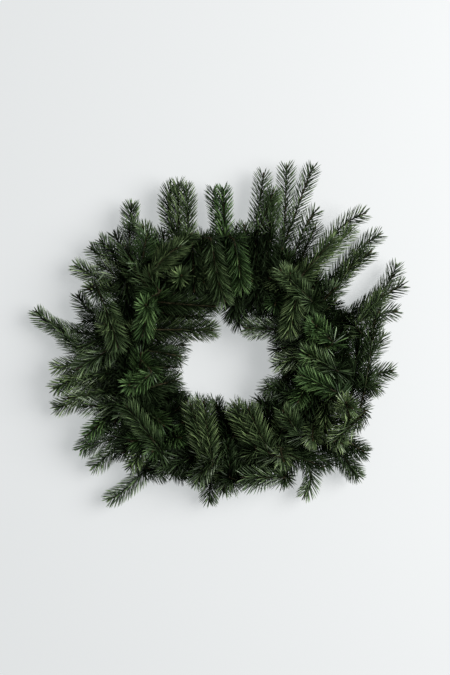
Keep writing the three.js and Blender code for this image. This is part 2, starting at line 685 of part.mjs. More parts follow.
// A named mesh from a solid.
function toMesh(name, solid, color, roughness, metalness) {
  const { vertProperties, triVerts } = solid.getMesh();
  const geometry = new THREE.BufferGeometry();
  geometry.setAttribute("position", new THREE.BufferAttribute(new Float32Array(vertProperties), 3));
  geometry.setIndex(new THREE.BufferAttribute(new Uint32Array(triVerts), 1));
  const merged = mergeVertices(geometry, 0.002);
  merged.computeVertexNormals();
  const mesh = new THREE.Mesh(merged, new THREE.MeshStandardMaterial({ color, roughness, metalness }));
  mesh.name = name;
  return mesh;
}

const shoots = layOutShoots();
settle(shoots);
shoots.forEach(cutSections);
const { sites, grown } = growNeedles(shoots);

const wreath = new THREE.Group();
wreath.name = "evergreen_wreath";
wreath.add(toMesh("willow_ring", makeWillowRing(shoots), WILLOW_COLOUR, 0.9, 0));
wreath.add(toMesh("binding_wire", makeWire(), WIRE_COLOUR, 0.5, 0.8));
for (const [name, { solid, tone }] of makeSprigs(shoots, sites)) {
  wreath.add(toMesh(name, solid, TONES[tone], 0.6, 0));
}
// The whole wreath is moved so that its footprint is centred on the origin.
const footprint = new THREE.Box3().setFromObject(wreath);
wreath.position.set(-(footprint.min.x + footprint.max.x) / 2, -(footprint.min.y + footprint.max.y) / 2, 0);
wreath.updateMatrixWorld(true);
console.log(`${shoots.length} shoots, ${grown} of ${sites.length} needles grown`);

export default wreath;
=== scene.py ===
# %% [markdown]
# # A fresh evergreen wreath
# This lesson dresses a wreath of cut fir sprigs. The solid model gives every sprig as a slim stem with a
# few needles. Here each one becomes a full sprig with about a thousand fine needles, on a ring of bound
# willow rods. The frame is loaded first, because every piece takes its place from it.

# %% Load the frame
import json
import math

import bpy
import numpy as np
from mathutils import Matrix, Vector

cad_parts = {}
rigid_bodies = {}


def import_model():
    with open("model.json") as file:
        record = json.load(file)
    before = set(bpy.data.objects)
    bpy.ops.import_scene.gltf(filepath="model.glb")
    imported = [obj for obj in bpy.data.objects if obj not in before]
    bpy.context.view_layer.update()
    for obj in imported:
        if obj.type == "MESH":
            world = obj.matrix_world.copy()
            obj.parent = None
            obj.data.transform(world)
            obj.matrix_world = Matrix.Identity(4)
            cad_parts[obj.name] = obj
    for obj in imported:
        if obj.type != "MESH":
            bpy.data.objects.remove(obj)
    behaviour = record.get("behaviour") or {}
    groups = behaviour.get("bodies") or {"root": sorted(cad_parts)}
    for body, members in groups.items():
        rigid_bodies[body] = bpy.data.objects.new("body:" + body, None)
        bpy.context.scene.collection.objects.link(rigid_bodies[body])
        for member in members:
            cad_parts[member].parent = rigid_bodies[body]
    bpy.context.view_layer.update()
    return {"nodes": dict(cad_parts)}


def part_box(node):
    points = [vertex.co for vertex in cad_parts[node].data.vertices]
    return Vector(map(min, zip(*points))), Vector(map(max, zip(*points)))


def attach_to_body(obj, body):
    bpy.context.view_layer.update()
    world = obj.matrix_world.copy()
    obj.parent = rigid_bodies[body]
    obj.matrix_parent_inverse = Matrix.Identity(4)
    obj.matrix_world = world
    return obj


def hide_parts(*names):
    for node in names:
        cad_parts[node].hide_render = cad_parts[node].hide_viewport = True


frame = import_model()
ring_low, ring_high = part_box("willow_ring")
RING_MIDDLE = np.array([(ring_low.x + ring_high.x) / 2, (ring_low.y + ring_high.y) / 2, 0.0])
print("nodes", len(frame["nodes"]), "ring middle", RING_MIDDLE.round(4))

# %% [markdown]
# ## The camera
# The wreath was photographed from straight above, lying on a pale table. A camera in Blender that isn't
# turned looks straight down, with +Y at the top of the picture, which is what is needed here. The sprigs
# in the photo give the scale: 1.4 mm to a pixel, so the picture is 0.945 m high at the level of the
# sprigs.

# %% Camera
PIXEL = 0.0014
PICTURE_SIZE = (450, 675)
RING_MIDDLE_PIXEL = (227, 357)
LENS = 50
SENSOR = 36
SPRIG_LEVEL = 0.035
camera_data = bpy.data.cameras.new("camera")
camera_data.lens = LENS
camera_data.sensor_width = SENSOR
camera = bpy.data.objects.new("camera", camera_data)
bpy.context.collection.objects.link(camera)
bpy.context.scene.camera = camera
camera_height = SPRIG_LEVEL + PICTURE_SIZE[1] * PIXEL * LENS / SENSOR
camera.location = (
    RING_MIDDLE[0] + (PICTURE_SIZE[0] / 2 - RING_MIDDLE_PIXEL[0]) * PIXEL,
    RING_MIDDLE[1] - (PICTURE_SIZE[1] / 2 - RING_MIDDLE_PIXEL[1]) * PIXEL,
    camera_height,
)
print("camera height", round(camera_height, 3))

# %% [markdown]
# ## Where the sprigs go
# Each sprig is a twig pushed into the ring: a leading shoot with side shoots that fork from it. Its row
# gives the angle round the ring where it is pushed in, the angle round the ring's tube where that isn't
# simply towards its tip, the tip of its leading shoot in millimetres from the ring's middle, how far the
# shoot bows to its left, its tone of green, and its side shoots as (share of the way up the leader, tip x,
# y, z). The rows are the same as the solid model's, so the fine sprigs lie exactly where the solid ones
# do.

# %% The sprigs
SPRIGS = {
    "outer": [
        (-12, None, (218, 30, 34), -22, "deep", [(0.5, 208, 60, 58)]),
        (16, None, (238, 127, 26), -30, "deep", [(0.35, 243, 100, 44), (0.22, 237, 64, 30)]),
        (33, None, (214, 172, 24), 12, "deep", [(0.2, 199, 146, 44)]),
        (45, None, (190, 199, 46), 26, "olive", []),
        (54, None, (123, 203, 40), 8, "deep", []),
        (62, None, (120, 266, 26), 0, "deep", [(0.25, 84, 266, 32)]),
        (76, 70, (51, 256, 28), -3, "deep",
         [(0.25, 64, 228, 54), (0.2, 24, 181, 48), (0.12, 34, 106, 62)]),
        (90, 112, (-6, 232, 46), 0, "blue", [(0.25, -18, 233, 28), (0.12, 4, 94, 62)]),
        (107, 95, (-77, 239, 28), 40, "olive",
         [(0.3, -57, 236, 42), (0.2, -34, 164, 52), (0.12, -32, 104, 60)]),
        (118, None, (-134, 212, 30), 40, "deep", [(0.3, -115, 178, 60)]),
        (136, None, (-190, 151, 26), 0, "deep", [(0.3, -175, 161, 44), (0.4, -157, 171, 26)]),
        (146, None, (-212, 127, 28), 0, "olive", [(0.3, -189, 94, 60)]),
        (158, None, (-208, 84, 30), 30, "deep", []),
        (167, None, (-268, 62, 24), 34, "deep", []),
        (179, None, (-239, -15, 36), 0, "olive", [(0.3, -237, -43, 50)]),
        (190, None, (-240, -71, 24), 10, "olive", []),
        (201, None, (-204, -130, 30), 0, "blue", [(0.35, -192, -106, 48)]),
        (214, None, (-188, -155, 24), 8, "deep", []),
        (225, None, (-132, -150, 48), 0, "olive", []),
        (236, None, (-165, -201, 22), 14, "deep", []),
        (251, None, (-41, -174, 44), 0, "deep", [(0.2, -77, -152, 28)]),
        (264, None, (-24, -202, 24), -6, "deep", [(0.35, -5, -183, 34)]),
        (299, None, (20, -173, 44), 46, "blue", []),
        (309, None, (110, -194, 24), 34, "deep", [(0.3, 78, -172, 26)]),
        (319, None, (183, -167, 26), 0, "deep", [(0.4, 192, -134, 36)]),
        (333, None, (195, -75, 28), 0, "deep", []),
        (344, None, (230, -20, 30), 0, "deep", [(0.4, 206, -46, 40)]),
    ],
    "inner": [
        (12, None, (78, 18, 20), 0, "deep", []),
        (35, None, (31, 40, 48), 10, "olive", []),
        (52, None, (66, 73, 60), 0, "blue", [(0.2, 88, 49, 70)]),
        (86, None, (10, 56, 20), 0, "deep", [(0.3, 0, 82, 18)]),
        (116, None, (-30, 88, 24), 0, "deep", []),
        (143, None, (-24, 76, 44), 0, "olive", []),
        (160, None, (-22, 38, 58), 0, "olive", []),
        (174, None, (-62, 17, 20), 0, "deep", [(0.3, -68, -5, 22)]),
        (200, None, (-76, -34, 20), 0, "deep", [(0.3, -62, -60, 18)]),
        (252, None, (-40, -62, 56), 0, "blue", [(0.3, -60, -90, 60)]),
        (262, None, (-18, -64, 24), 0, "deep", []),
        (272, None, (-14, -68, 52), 0, "blue", [(0.2, 10, -108, 60)]),
        (294, None, (15, -70, 56), 0, "olive", [(0.25, 34, -98, 60)]),
        (314, None, (45, -64, 28), 0, "deep", []),
        (331, None, (76, -42, 40), 0, "deep", []),
        (351, None, (76, -10, 40), 0, "deep", []),
    ],
    "face": [
        (47, None, (85, 113, 82), 0, "olive", [(0.3, 60, 108, 56)]),
        (28, None, (147, 94, 60), 0, "deep", [(0.3, 112, 80, 64)]),
        (13, None, (119, 43, 92), 0, "blue", [(0.3, 138, 14, 58)]),
        (-2, None, (111, 3, 78), 0, "blue", [(0.3, 142, -16, 54)]),
        (-17, None, (109, -29, 72), 0, "blue", [(0.3, 98, -60, 60)]),
        (-22, None, (166, -67, 92), 0, "olive", [(0.3, 136, -94, 56)]),
        (-37, None, (155, -116, 70), 0, "olive", [(0.3, 116, -111, 78)]),
        (-58, None, (76, -139, 80), 0, "olive", [(0.3, 78, -85, 62), (0.25, 42, -118, 56)]),
        (232, None, (-101, -127, 68), 0, "blue", [(0.3, -129, -116, 55), (0.25, -64, -110, 58)]),
        (209, None, (-143, -77, 62), 0, "blue", [(0.3, -88, -92, 62)]),
        (194, None, (-130, -36, 98), 0, "blue", [(0.3, -118, 4, 60)]),
        (173, None, (-165, 45, 76), 0, "olive", [(0.3, -128, 38, 60)]),
        (153, None, (-109, 71, 90), 0, "blue", [(0.3, -92, 90, 60)]),
        (124, None, (-62, 111, 80), 0, "olive", [(0.3, -34, 122, 58)]),
        (131, None, (-122, 150, 60), 0, "blue", [(0.3, -88, 150, 54)]),
    ],
}
print("sprigs", {group: len(rows) for group, rows in SPRIGS.items()})

# %% [markdown]
# ## From a row to a path
# A cut end sits in a straight hole in the ring, so a leader runs straight out at first and then bends to
# its tip. A cubic Bezier curve does that: it leaves along the hole and arrives where it should. The points
# along it are about 8 mm apart, close enough to draw a smooth twig through. A leader's first two points
# are the ends of its straight part, which starts in the hole.

# %% Paths
RING_RADIUS = 123
TUBE_MIDDLE = 9
HOLE_BOTTOM = 4
STRAIGHT_TO = 15
SAMPLE_SPACING = 8
FEWEST_STEPS = 4
FLATTEST_EXIT = 14
SIDEWAYS_EXIT = 0.35
LEAVES_BY = 0.3
ARRIVES_BY = 0.33
ROOT_POINTS = 2


def unit(v):
    return v / np.linalg.norm(v)


def outwards(at):
    return np.array([math.cos(math.radians(at)), math.sin(math.radians(at)), 0.0])


def curve_points(leave, heading, end, bow):
    chord = end - leave
    length = np.linalg.norm(chord)
    left = unit(np.array([-chord[1], chord[0], 0.0]))
    leaving = leave + LEAVES_BY * length * heading
    arriving = end - ARRIVES_BY * chord + bow * left
    count = max(FEWEST_STEPS, int(length / SAMPLE_SPACING + 0.5))
    t = np.linspace(0, 1, count + 1)[:, None]
    near_start = (1 - t) ** 3 * leave + 3 * (1 - t) ** 2 * t * leaving
    return near_start + 3 * (1 - t) * t**2 * arriving + t**3 * end


def leader_path(at, tilt, tip, bow):
    out = outwards(at)
    middle = out * RING_RADIUS + [0, 0, TUBE_MIDDLE]
    end = np.array(tip, float)
    towards = end - middle
    if tilt is None:
        tilt = math.degrees(math.atan2(towards[2], towards @ out))
        tilt = min(180 - FLATTEST_EXIT, max(FLATTEST_EXIT, tilt))
    along = np.array([-out[1], out[0], 0.0])
    heading = out * math.cos(math.radians(tilt)) + [0, 0, math.sin(math.radians(tilt))]
    heading = unit(heading + along * SIDEWAYS_EXIT * (towards @ along) / np.linalg.norm(towards))
    leave = middle + heading * STRAIGHT_TO
    return np.vstack([middle + heading * HOLE_BOTTOM, curve_points(leave, heading, end, bow)])


def side_path(leader, share, tip):
    fork = max(ROOT_POINTS, int(share * (len(leader) - 1) + 0.5))
    end = np.array(tip, float)
    heading = unit(unit(leader[fork + 1] - leader[fork]) + unit(end - leader[fork]))
    return fork, curve_points(leader[fork], heading, end, 0)


shoots = []
for group, rows in SPRIGS.items():
    for number, (at, tilt, tip, bow, tone, sides) in enumerate(rows, 1):
        name = f"{group}_sprig_{number:02d}"
        rest = leader_path(at, tilt, tip, bow)
        leader = {"name": name, "group": group, "tone": tone, "leads": True}
        leader.update(parent=None, fixed=ROOT_POINTS, rest=rest)
        shoots.append(leader)
        for share, *side_tip in sides:
            fork, points = side_path(rest, share, side_tip)
            shoots.append(dict(leader, leads=False, parent=leader, fork=fork, fixed=1, rest=points))
print("shoots", len(shoots), "points", sum(len(shoot["rest"]) for shoot in shoots))

# %% [markdown]
# ## Settling
# Springy twigs pushed into a ring one after another make room for each other. The same happens here: for
# forty small steps, twigs of different sprigs that are too near push each other apart, mostly up and down,
# and the ring and the table push them away too. After each step the movement is smoothed along each twig,
# with its root held. It is the rule that settled the solid model, so both come to rest in the same place.

# %% Settle the twigs
TWIG_CLEAR = 12
RING_CLEAR = 18
FLOOR_CLEAR = 15
TWIG_PUSH = 0.25
FIRM_PUSH = 0.5
SIDEWAYS_GIVE = 0.45
PAIR_REACH = 60
SETTLE_STEPS = 40
SMOOTHING = 0.5
TINY = 1e-6


def from_tube(points):
    flat = points * [1, 1, 0]
    return points - (flat * RING_RADIUS / np.linalg.norm(flat, axis=1)[:, None] + [0, 0, TUBE_MIDDLE])


def close_pairs(points, sprig):
    apart = np.sqrt(((points[:, None, :] - points[None, :, :]) ** 2).sum(2))
    return np.nonzero((apart < PAIR_REACH) & (sprig[:, None] != sprig[None, :]))


def pushes(points, pairs):
    own, other = pairs
    apart = points[own] - points[other]
    distance = np.linalg.norm(apart, axis=1)
    strength = TWIG_PUSH * (TWIG_CLEAR - distance) / np.maximum(distance, TINY)
    strength = np.where(distance < TWIG_CLEAR, strength, 0)
    push = np.zeros_like(points)
    np.add.at(push, own, apart * strength[:, None])
    push *= [SIDEWAYS_GIVE, SIDEWAYS_GIVE, 1]
    away = from_tube(points)
    depth = np.linalg.norm(away, axis=1)
    push += away * np.where(depth < RING_CLEAR, FIRM_PUSH * (RING_CLEAR - depth) / depth, 0)[:, None]
    push[:, 2] += np.maximum(0, FIRM_PUSH * (FLOOR_CLEAR - points[:, 2]))
    return push


def smooth_shift(shoot):
    before = shoot["shift"].copy()
    shoot["shift"][1:-1] = (1 - SMOOTHING) * before[1:-1] + SMOOTHING * (before[:-2] + before[2:]) / 2
    shoot["shift"][-1] = (1 - SMOOTHING) * before[-1] + SMOOTHING * before[-2]
    root_shift = 0 if shoot["parent"] is None else shoot["parent"]["shift"][shoot["fork"]]
    shoot["shift"][: shoot["fixed"]] = root_shift


def settle(twigs):
    for shoot in twigs:
        shoot["shift"] = np.zeros_like(shoot["rest"])
        shoot["points"] = shoot["rest"].copy()
    sprig = np.array([shoot["name"] for shoot in twigs for _ in shoot["rest"]])
    pairs = close_pairs(np.vstack([shoot["rest"] for shoot in twigs]), sprig)
    ends = np.cumsum([len(shoot["rest"]) for shoot in twigs])[:-1]
    for _ in range(SETTLE_STEPS):
        push = pushes(np.vstack([shoot["points"] for shoot in twigs]), pairs)
        for shoot, part in zip(twigs, np.split(push, ends)):
            shoot["shift"] += part
        for shoot in twigs:
            smooth_shift(shoot)
            shoot["points"] = shoot["rest"] + shoot["shift"]


settle(shoots)
moved = [np.linalg.norm(shoot["shift"], axis=1).max() for shoot in shoots]
print("largest move", round(max(moved), 1), "mm")

# %% [markdown]
# ## The shoots that cover the face
# A solid model can afford only a hundred shoots, but the real wreath is so full that none of its ring
# shows. The ones that make up its face, and some that fill the outer sprigs, were read off the photo one
# by one. A row gives where the visible part of a shoot begins and ends, in millimetres from the ring's
# middle, how far it bows to its left, its tone, and how much painted light its needles get, from 0 to 1.
# Some rows end with the length of the needles as a share of the usual length. Shoots that stick up into
# the light are painted lightest, and those deep in the wreath are painted dark, as painted shade. Each
# forks from the nearest twig behind it.

# %% Cover shoots
# The fifth value of a row is painted light and shade for the shoot's needles.
COVER = [
    ((-117, 128, 62), (-109, 164, 84), 0, "blue", 0.75),
    ((-108, 114, 66), (-64, 150, 80), 6, "olive", 0.75),
    ((-84, 131, 60), (-50, 168, 70), 4, "deep", 0.6),
    ((-48, 156, 58), (-45, 93, 60), 0, "deep", 0.1),
    ((-23, 164, 62), (-4, 78, 74), -4, "deep", 0.6),
    ((10, 161, 60), (19, 95, 72), 3, "blue", 0.55),
    ((40, 168, 52), (41, 79, 50), 0, "deep", 0.08),
    ((55, 168, 48), (54, 71, 46), 0, "deep", 0.08),
    ((97, 106, 62), (145, 161, 66), 0, "olive", 0.8),
    ((116, 76, 70), (73, 117, 84), 0, "deep", 0.75),
    ((98, 95, 66), (83, 35, 72), 0, "olive", 0.6),
    ((-179, 100, 66), (-149, 17, 76), 4, "deep", 0.65, 1.1),
    ((-105, 81, 74), (-114, 32, 80), 0, "blue", 0.65),
    ((-140, 112, 50), (-137, 17, 50), 0, "deep", 0.05),
    ((-164, 10, 56), (-204, -15, 62), 0, "deep", 0.62),
    ((-132, -65, 42), (-199, -68, 46), 0, "deep", 0.6),
    ((-109, -42, 58), (-69, -31, 56), 0, "deep", 0.45),
    ((-111, 10, 60), (-67, 2, 58), 0, "deep", 0.45),
    ((-89, -129, 66), (-135, -67, 80), 0, "deep", 0.65),
    ((-30, -141, 64), (-49, -66, 76), -3, "olive", 0.58),
    ((-20, -146, 68), (-31, -62, 80), 2, "olive", 0.6, 0.95),
    ((42, -130, 64), (10, -66, 76), 2, "olive", 0.6, 1.05),
    ((58, -133, 68), (30, -70, 80), 2, "olive", 0.58, 1.05),
    ((7, -156, 48), (-1, -80, 48), 0, "deep", 0.08),
    ((-21, -141, 60), (-43, -169, 58), 0, "deep", 0.6),
    ((79, -166, 55), (23, -165, 58), 0, "deep", 0.62),
    ((154, -49, 66), (102, -25, 78), 0, "blue", 0.8),
    ((191, -49, 42), (208, 66, 48), 0, "deep", 0.45, 0.9),
    ((174, -46, 38), (186, 38, 40), 0, "deep", 0.15),
    ((178, 42, 50), (215, 86, 46), 0, "olive", 0.65, 0.9),
    ((152, -19, 64), (104, 8, 74), 0, "deep", 0.6),
    ((146, 20, 66), (115, 48, 84), 0, "blue", 1.0),
    ((160, 50, 40), (163, -39, 40), 0, "deep", 0.03),
    ((73, -123, 48), (15, -131, 48), 0, "deep", 0.05),
    ((88, -136, 45), (132, -151, 45), 0, "deep", 0.3),
    ((-123, 113, 62), (-138, 150, 66), 0, "deep", 0.5),
    ((100, -107, 66), (77, -74, 76), 0, "deep", 0.55),
    ((169, -89, 62), (160, -61, 88), 0, "olive", 0.95, 1.1),
    ((176, -89, 60), (148, -113, 66), 0, "olive", 0.7),
    ((-98, 38, 66), (-21, 38, 72), 0, "olive", 0.5, 1.05),
    ((-85, 75, 60), (-18, 70, 62), 0, "deep", 0.4),
    ((87, 38, 56), (29, 40, 52), 0, "deep", 0.55),
    ((125, 7, 56), (70, -9, 52), 0, "olive", 0.5),
    ((-134, 133, 40), (-137, 183, 36), 0, "deep", 0.4),
    ((-68, 163, 44), (-68, 241, 40), 0, "olive", 0.55, 0.95),
    ((102, 133, 36), (123, 181, 32), 0, "deep", 0.3),
    ((123, 126, 50), (172, 177, 38), 0, "olive", 0.75),
    ((150, 92, 38), (192, 149, 30), 6, "olive", 0.5, 0.9),
    ((175, -29, 36), (212, -41, 32), 0, "deep", 0.3),
    ((155, -127, 36), (181, -164, 32), 0, "deep", 0.3),
    ((157, -110, 44), (188, -130, 40), 0, "deep", 0.3),
    ((-49, -140, 46), (-96, -157, 40), 0, "deep", 0.3),
    ((7, -156, 50), (-4, -179, 46), 0, "deep", 0.4),
    ((-194, -1, 38), (-226, 24, 34), 0, "deep", 0.4),
    ((-188, -37, 42), (-225, -40, 38), 0, "olive", 0.5),
    ((-152, -110, 42), (-192, -126, 36), 0, "deep", 0.4),
    ((-79, 57, 48), (-31, 57, 46), 0, "deep", 0.2),
    ((-89, -87, 50), (-57, -62, 46), 0, "deep", 0.2),
    ((59, 160, 50), (61, 222, 44), 0, "deep", 0.35, 1.1),
    ((-134, -20, 40), (-196, -28, 36), 0, "deep", 0.05),
    ((98, -100, 42), (137, -124, 40), 0, "deep", 0.1),
    ((67, -143, 42), (13, -143, 42), 0, "deep", 0.05),
    ((-91, 146, 42), (-88, 173, 40), 0, "deep", 0.25),
    ((-39, 146, 42), (-33, 169, 40), 0, "deep", 0.25),
    ((14, 149, 44), (13, 180, 40), 0, "deep", 0.25),
    ((-139, 106, 44), (-179, 128, 40), 0, "olive", 0.5),
    ((-163, 54, 40), (-200, 50, 36), 0, "deep", 0.3),
    ((-158, 18, 40), (-191, 18, 38), 0, "deep", 0.2),
    ((35, 102, 46), (33, 66, 44), 0, "deep", 0.08),
    ((12, 90, 48), (6, 57, 46), 0, "deep", 0.15),
    ((-18, 88, 48), (-21, 79, 46), 0, "deep", 0.3),
    ((93, 17, 44), (68, 10, 42), 0, "deep", 0.1),
    ((90, -51, 44), (60, -43, 42), 0, "deep", 0.2),
    ((-107, -14, 50), (-72, -14, 48), 0, "deep", 0.35),
    ((174, 44, 34), (181, 16, 32), 0, "deep", 0.1, 0.9),
    ((129, 88, 42), (124, 113, 40), 0, "deep", 0.15),
    ((10, -157, 44), (6, -183, 40), 0, "deep", 0.3),
    ((108, -130, 36), (145, -149, 32), 0, "deep", 0.2),
    ((-113, -116, 40), (-144, -133, 38), 0, "deep", 0.2),
    ((-21, 100, 50), (-18, 70, 48), 0, "deep", 0.35),
    ((26, 93, 42), (24, 53, 40), 0, "deep", 0.08),
    ((43, 96, 42), (45, 64, 40), 0, "deep", 0.08),
    ((12, 79, 44), (17, 45, 42), 0, "deep", 0.12),
    ((81, -29, 42), (54, -47, 40), 0, "deep", 0.3),
    ((-7, -154, 42), (-4, -186, 38), 0, "olive", 0.45),
    ((-129, -149, 34), (-90, -164, 32), 0, "deep", 0.12),
    ((-87, -142, 34), (-60, -167, 32), 0, "deep", 0.12),
    ((1, -146, 46), (-1, -94, 46), 0, "deep", 0.03, 0.9),
    ((-139, -21, 34), (-181, -14, 32), 0, "deep", 0.08),
    ((-139, -43, 34), (-181, -51, 32), 0, "deep", 0.08),
    ((-136, -63, 34), (-178, -73, 32), 0, "deep", 0.1),
    ((-126, -94, 34), (-168, -104, 32), 0, "deep", 0.12),
    ((-119, -116, 34), (-156, -133, 32), 0, "deep", 0.12),
    ((-108, -49, 38), (-66, -59, 38), 0, "deep", 0.12),
    ((25, -146, 40), (81, -141, 38), 0, "deep", 0.05),
    ((-102, -20, 72), (-122, -38, 90), 0, "blue", 1.0, 0.9),
    ((-31, -157, 40), (7, -157, 40), 0, "deep", 0.05),
    ((61, 163, 46), (65, 223, 44), 0, "deep", 0.5, 0.8),
    ((4, -164, 66), (1, -116, 68), 0, "deep", 0.03, 0.7),
    ((-168, -22, 44), (-220, -31, 40), 0, "olive", 0.6, 0.9),
    ((-168, -48, 42), (-220, -57, 38), 0, "olive", 0.6, 0.9),
    ((-152, 34, 48), (-204, 14, 44), 0, "deep", 0.5, 0.9),
    ((-199, 8, 40), (-246, 47, 32), 0, "deep", 0.7, 0.8),
    ((134, -99, 42), (168, -84, 40), 0, "deep", 0.2),
    ((74, 84, 44), (44, 60, 42), 0, "deep", 0.06),
    ((102, 30, 44), (68, 30, 42), 0, "deep", 0.05),
]
BEHIND = 14
twig_points = np.vstack([shoot["points"][ROOT_POINTS:] for shoot in shoots])
twig_owner = [shoot for shoot in shoots for _ in shoot["points"][ROOT_POINTS:]]


def attach(base, tip, bow, tone, light, broad=1.0):
    along = unit(tip - base)
    nearest = np.argmin(np.linalg.norm(twig_points - (base - BEHIND * along), axis=1))
    points = np.vstack([twig_points[nearest], curve_points(base, along, tip, bow)])
    return dict(twig_owner[nearest], leads=False, tone=tone, light=light, broad=broad, points=points)


cover = [attach(np.array(base, float), np.array(tip, float), *looks) for base, tip, *looks in COVER]
print("cover shoots", len(cover))

# %% [markdown]
# ## Fillers
# Below them lie short shoots, painted dark as painted shade, which close the last gaps and hide the ring.
# They follow a rule: evenly round the ring they run inwards, along it, or outwards by turns, each turned a
# little and raised a little by chance, and they end where the dense band of the wreath ends. A run gives
# radius, turn and height where a shoot begins and where it ends. The band is a little wider on the left,
# so the radii stretch there.

# %% Filler shoots
FILLER_COUNT = 200
FILLER_RUNS = [
    ((112, -4, 30), (86, 5, 34)),
    ((118, -9, 38), (112, 13, 42)),
    ((134, 3, 28), (164, -6, 34)),
    ((134, 9, 38), (134, -13, 42)),
    ((130, -3, 36), (166, 4, 42)),
]
# The fillers' light is painted shade: it darkens their needles' colour.
FILLER_LIGHT = 0.14
BAND_STRETCH = 0.08
RADIUS_VARIES = 4
HEIGHT_VARIES = 5
TURN_VARIES = 3
STIR = 12.9898
MIX = 43758.5453


def scatter(seed):
    value = math.sin(seed * STIR) * MIX
    return 2 * (value - math.floor(value)) - 1


fillers = []
for index in range(FILLER_COUNT):
    at = 360 * index / FILLER_COUNT
    ends = []
    for place, (radius, turn, height) in enumerate(FILLER_RUNS[index % len(FILLER_RUNS)]):
        seed = 7 * index + 3 * place
        stretch = 1 - BAND_STRETCH * min(0, math.cos(math.radians(at)))
        radius = (radius + RADIUS_VARIES * scatter(seed)) * stretch
        height += HEIGHT_VARIES * scatter(seed + 1)
        ends.append(outwards(at + turn + TURN_VARIES * scatter(seed + 2)) * radius + [0, 0, height])
    fillers.append(attach(*ends, 0, "deep", FILLER_LIGHT))
everyone = shoots + cover + fillers
print("filler shoots", len(fillers), "all shoots", len(everyone))

# %% [markdown]
# ## Along a twig
# Stems and needles need the place and direction at any distance along a twig. The path's points are joined
# by a smooth Catmull-Rom curve, cut into millimetre steps. A normal is carried along it without twisting,
# so that needles set round the stem by angle don't spin where the twig bends.

# %% Walk along a path
STEP = 1.0
PIECES_BETWEEN = 8
NEARLY_UPRIGHT = 0.8


def smooth_path(points):
    padded = np.vstack([2 * points[0] - points[1], points, 2 * points[-1] - points[-2]])
    p0, p1, p2, p3 = padded[:-3, None], padded[1:-2, None], padded[2:-1, None], padded[3:, None]
    t = np.linspace(0, 1, PIECES_BETWEEN + 1)[None, :-1, None]
    squared = (2 * p0 - 5 * p1 + 4 * p2 - p3) * t**2
    cubed = (3 * p1 - p0 - 3 * p2 + p3) * t**3
    curve = 0.5 * (2 * p1 + (p2 - p0) * t + squared + cubed)
    dense = np.vstack([curve.reshape(-1, 3), points[-1]])
    lengths = np.concatenate([[0], np.cumsum(np.linalg.norm(np.diff(dense, axis=0), axis=1))])
    count = max(FEWEST_STEPS, int(lengths[-1] / STEP))
    at = np.linspace(0, lengths[-1], count + 1)
    places = np.stack([np.interp(at, lengths, dense[:, axis]) for axis in range(3)], axis=1)
    tangents = np.gradient(places, axis=0)
    tangents /= np.linalg.norm(tangents, axis=1)[:, None]
    normals = np.zeros_like(places)
    upright = abs(tangents[0][2]) >= NEARLY_UPRIGHT
    normal = np.array([1.0, 0.0, 0.0]) if upright else np.array([0.0, 0.0, 1.0])
    for i, tangent in enumerate(tangents):
        normal = unit(normal - tangent * (normal @ tangent))
        normals[i] = normal
    return {"at": at, "places": places, "tangents": tangents, "normals": normals, "length": lengths[-1]}


for shoot in everyone:
    shoot["walk"] = smooth_path(shoot["points"])
print("metres of twig", round(sum(shoot["walk"]["length"] for shoot in everyone) / 1000, 2))

# %% [markdown]
# ## One needle
# A fir needle is a flat blade about 1.5 mm wide and 15 to 25 mm long, keeled below and slightly bowed. It
# stays broad nearly to its blunt tip, which is what makes a shoot look like a comb. It could be drawn as a
# flat strip, but a strip vanishes when it is seen edge on. So it is a slim three-sided solid: a triangle
# is extruded to the widest place, then to the tip, where its corners are merged. It has only ten
# triangles, because the wreath holds tens of thousands of copies. The helper that reads a shape back sorts
# its triangles, so that every run lists them in the same order.

# %% Model the needle
NEEDLE_LENGTH = 20.0
NEEDLE_WIDTH = 1.15
NEEDLE_BOW = 0.25
WIDEST_AT = 0.75
SIDE_TO_RADIUS = 1.73
NARROW_FOOT = (0.8, 0.5, 1)
SWELLS_BY = (1.25, 1.15, 1)


def only(thing):
    bpy.ops.object.select_all(action="DESELECT")
    thing.select_set(True)
    bpy.context.view_layer.objects.active = thing


def arrays(thing):
    thing.data.calc_loop_triangles()
    places = np.array([v.co[:] for v in thing.data.vertices])
    triangles = np.array([t.vertices[:] for t in thing.data.loop_triangles])
    return places, triangles[np.lexsort(triangles.T)]


def forget(thing):
    mesh = thing.data
    bpy.data.objects.remove(thing)
    bpy.data.meshes.remove(mesh)


bpy.ops.object.select_all(action="DESELECT")
bpy.ops.mesh.primitive_circle_add(vertices=3, radius=NEEDLE_WIDTH / SIDE_TO_RADIUS, fill_type="NGON")
needle = bpy.context.object
bpy.ops.object.mode_set(mode="EDIT")
bpy.ops.mesh.select_all(action="SELECT")
bpy.ops.transform.resize(value=NARROW_FOOT)
to_widest = (0, NEEDLE_BOW, WIDEST_AT * NEEDLE_LENGTH)
bpy.ops.mesh.extrude_region_move(TRANSFORM_OT_translate={"value": to_widest})
bpy.ops.transform.resize(value=SWELLS_BY)
to_tip = (0, 0, (1 - WIDEST_AT) * NEEDLE_LENGTH)
bpy.ops.mesh.extrude_region_move(TRANSFORM_OT_translate={"value": to_tip})
bpy.ops.mesh.merge(type="CENTER")
bpy.ops.mesh.select_all(action="SELECT")
bpy.ops.mesh.normals_make_consistent(inside=False)
bpy.ops.object.mode_set(mode="OBJECT")
needle_places, needle_triangles = arrays(needle)
print("needle", len(needle_places), "points", len(needle_triangles), "triangles")
forget(needle)

# %% [markdown]
# ## One bud
# A cut shoot ends in a small egg-shaped bud, brown and resinous, with the last needles held round it. A
# low sphere is drawn out towards its tip, which is enough for something 3 mm across.

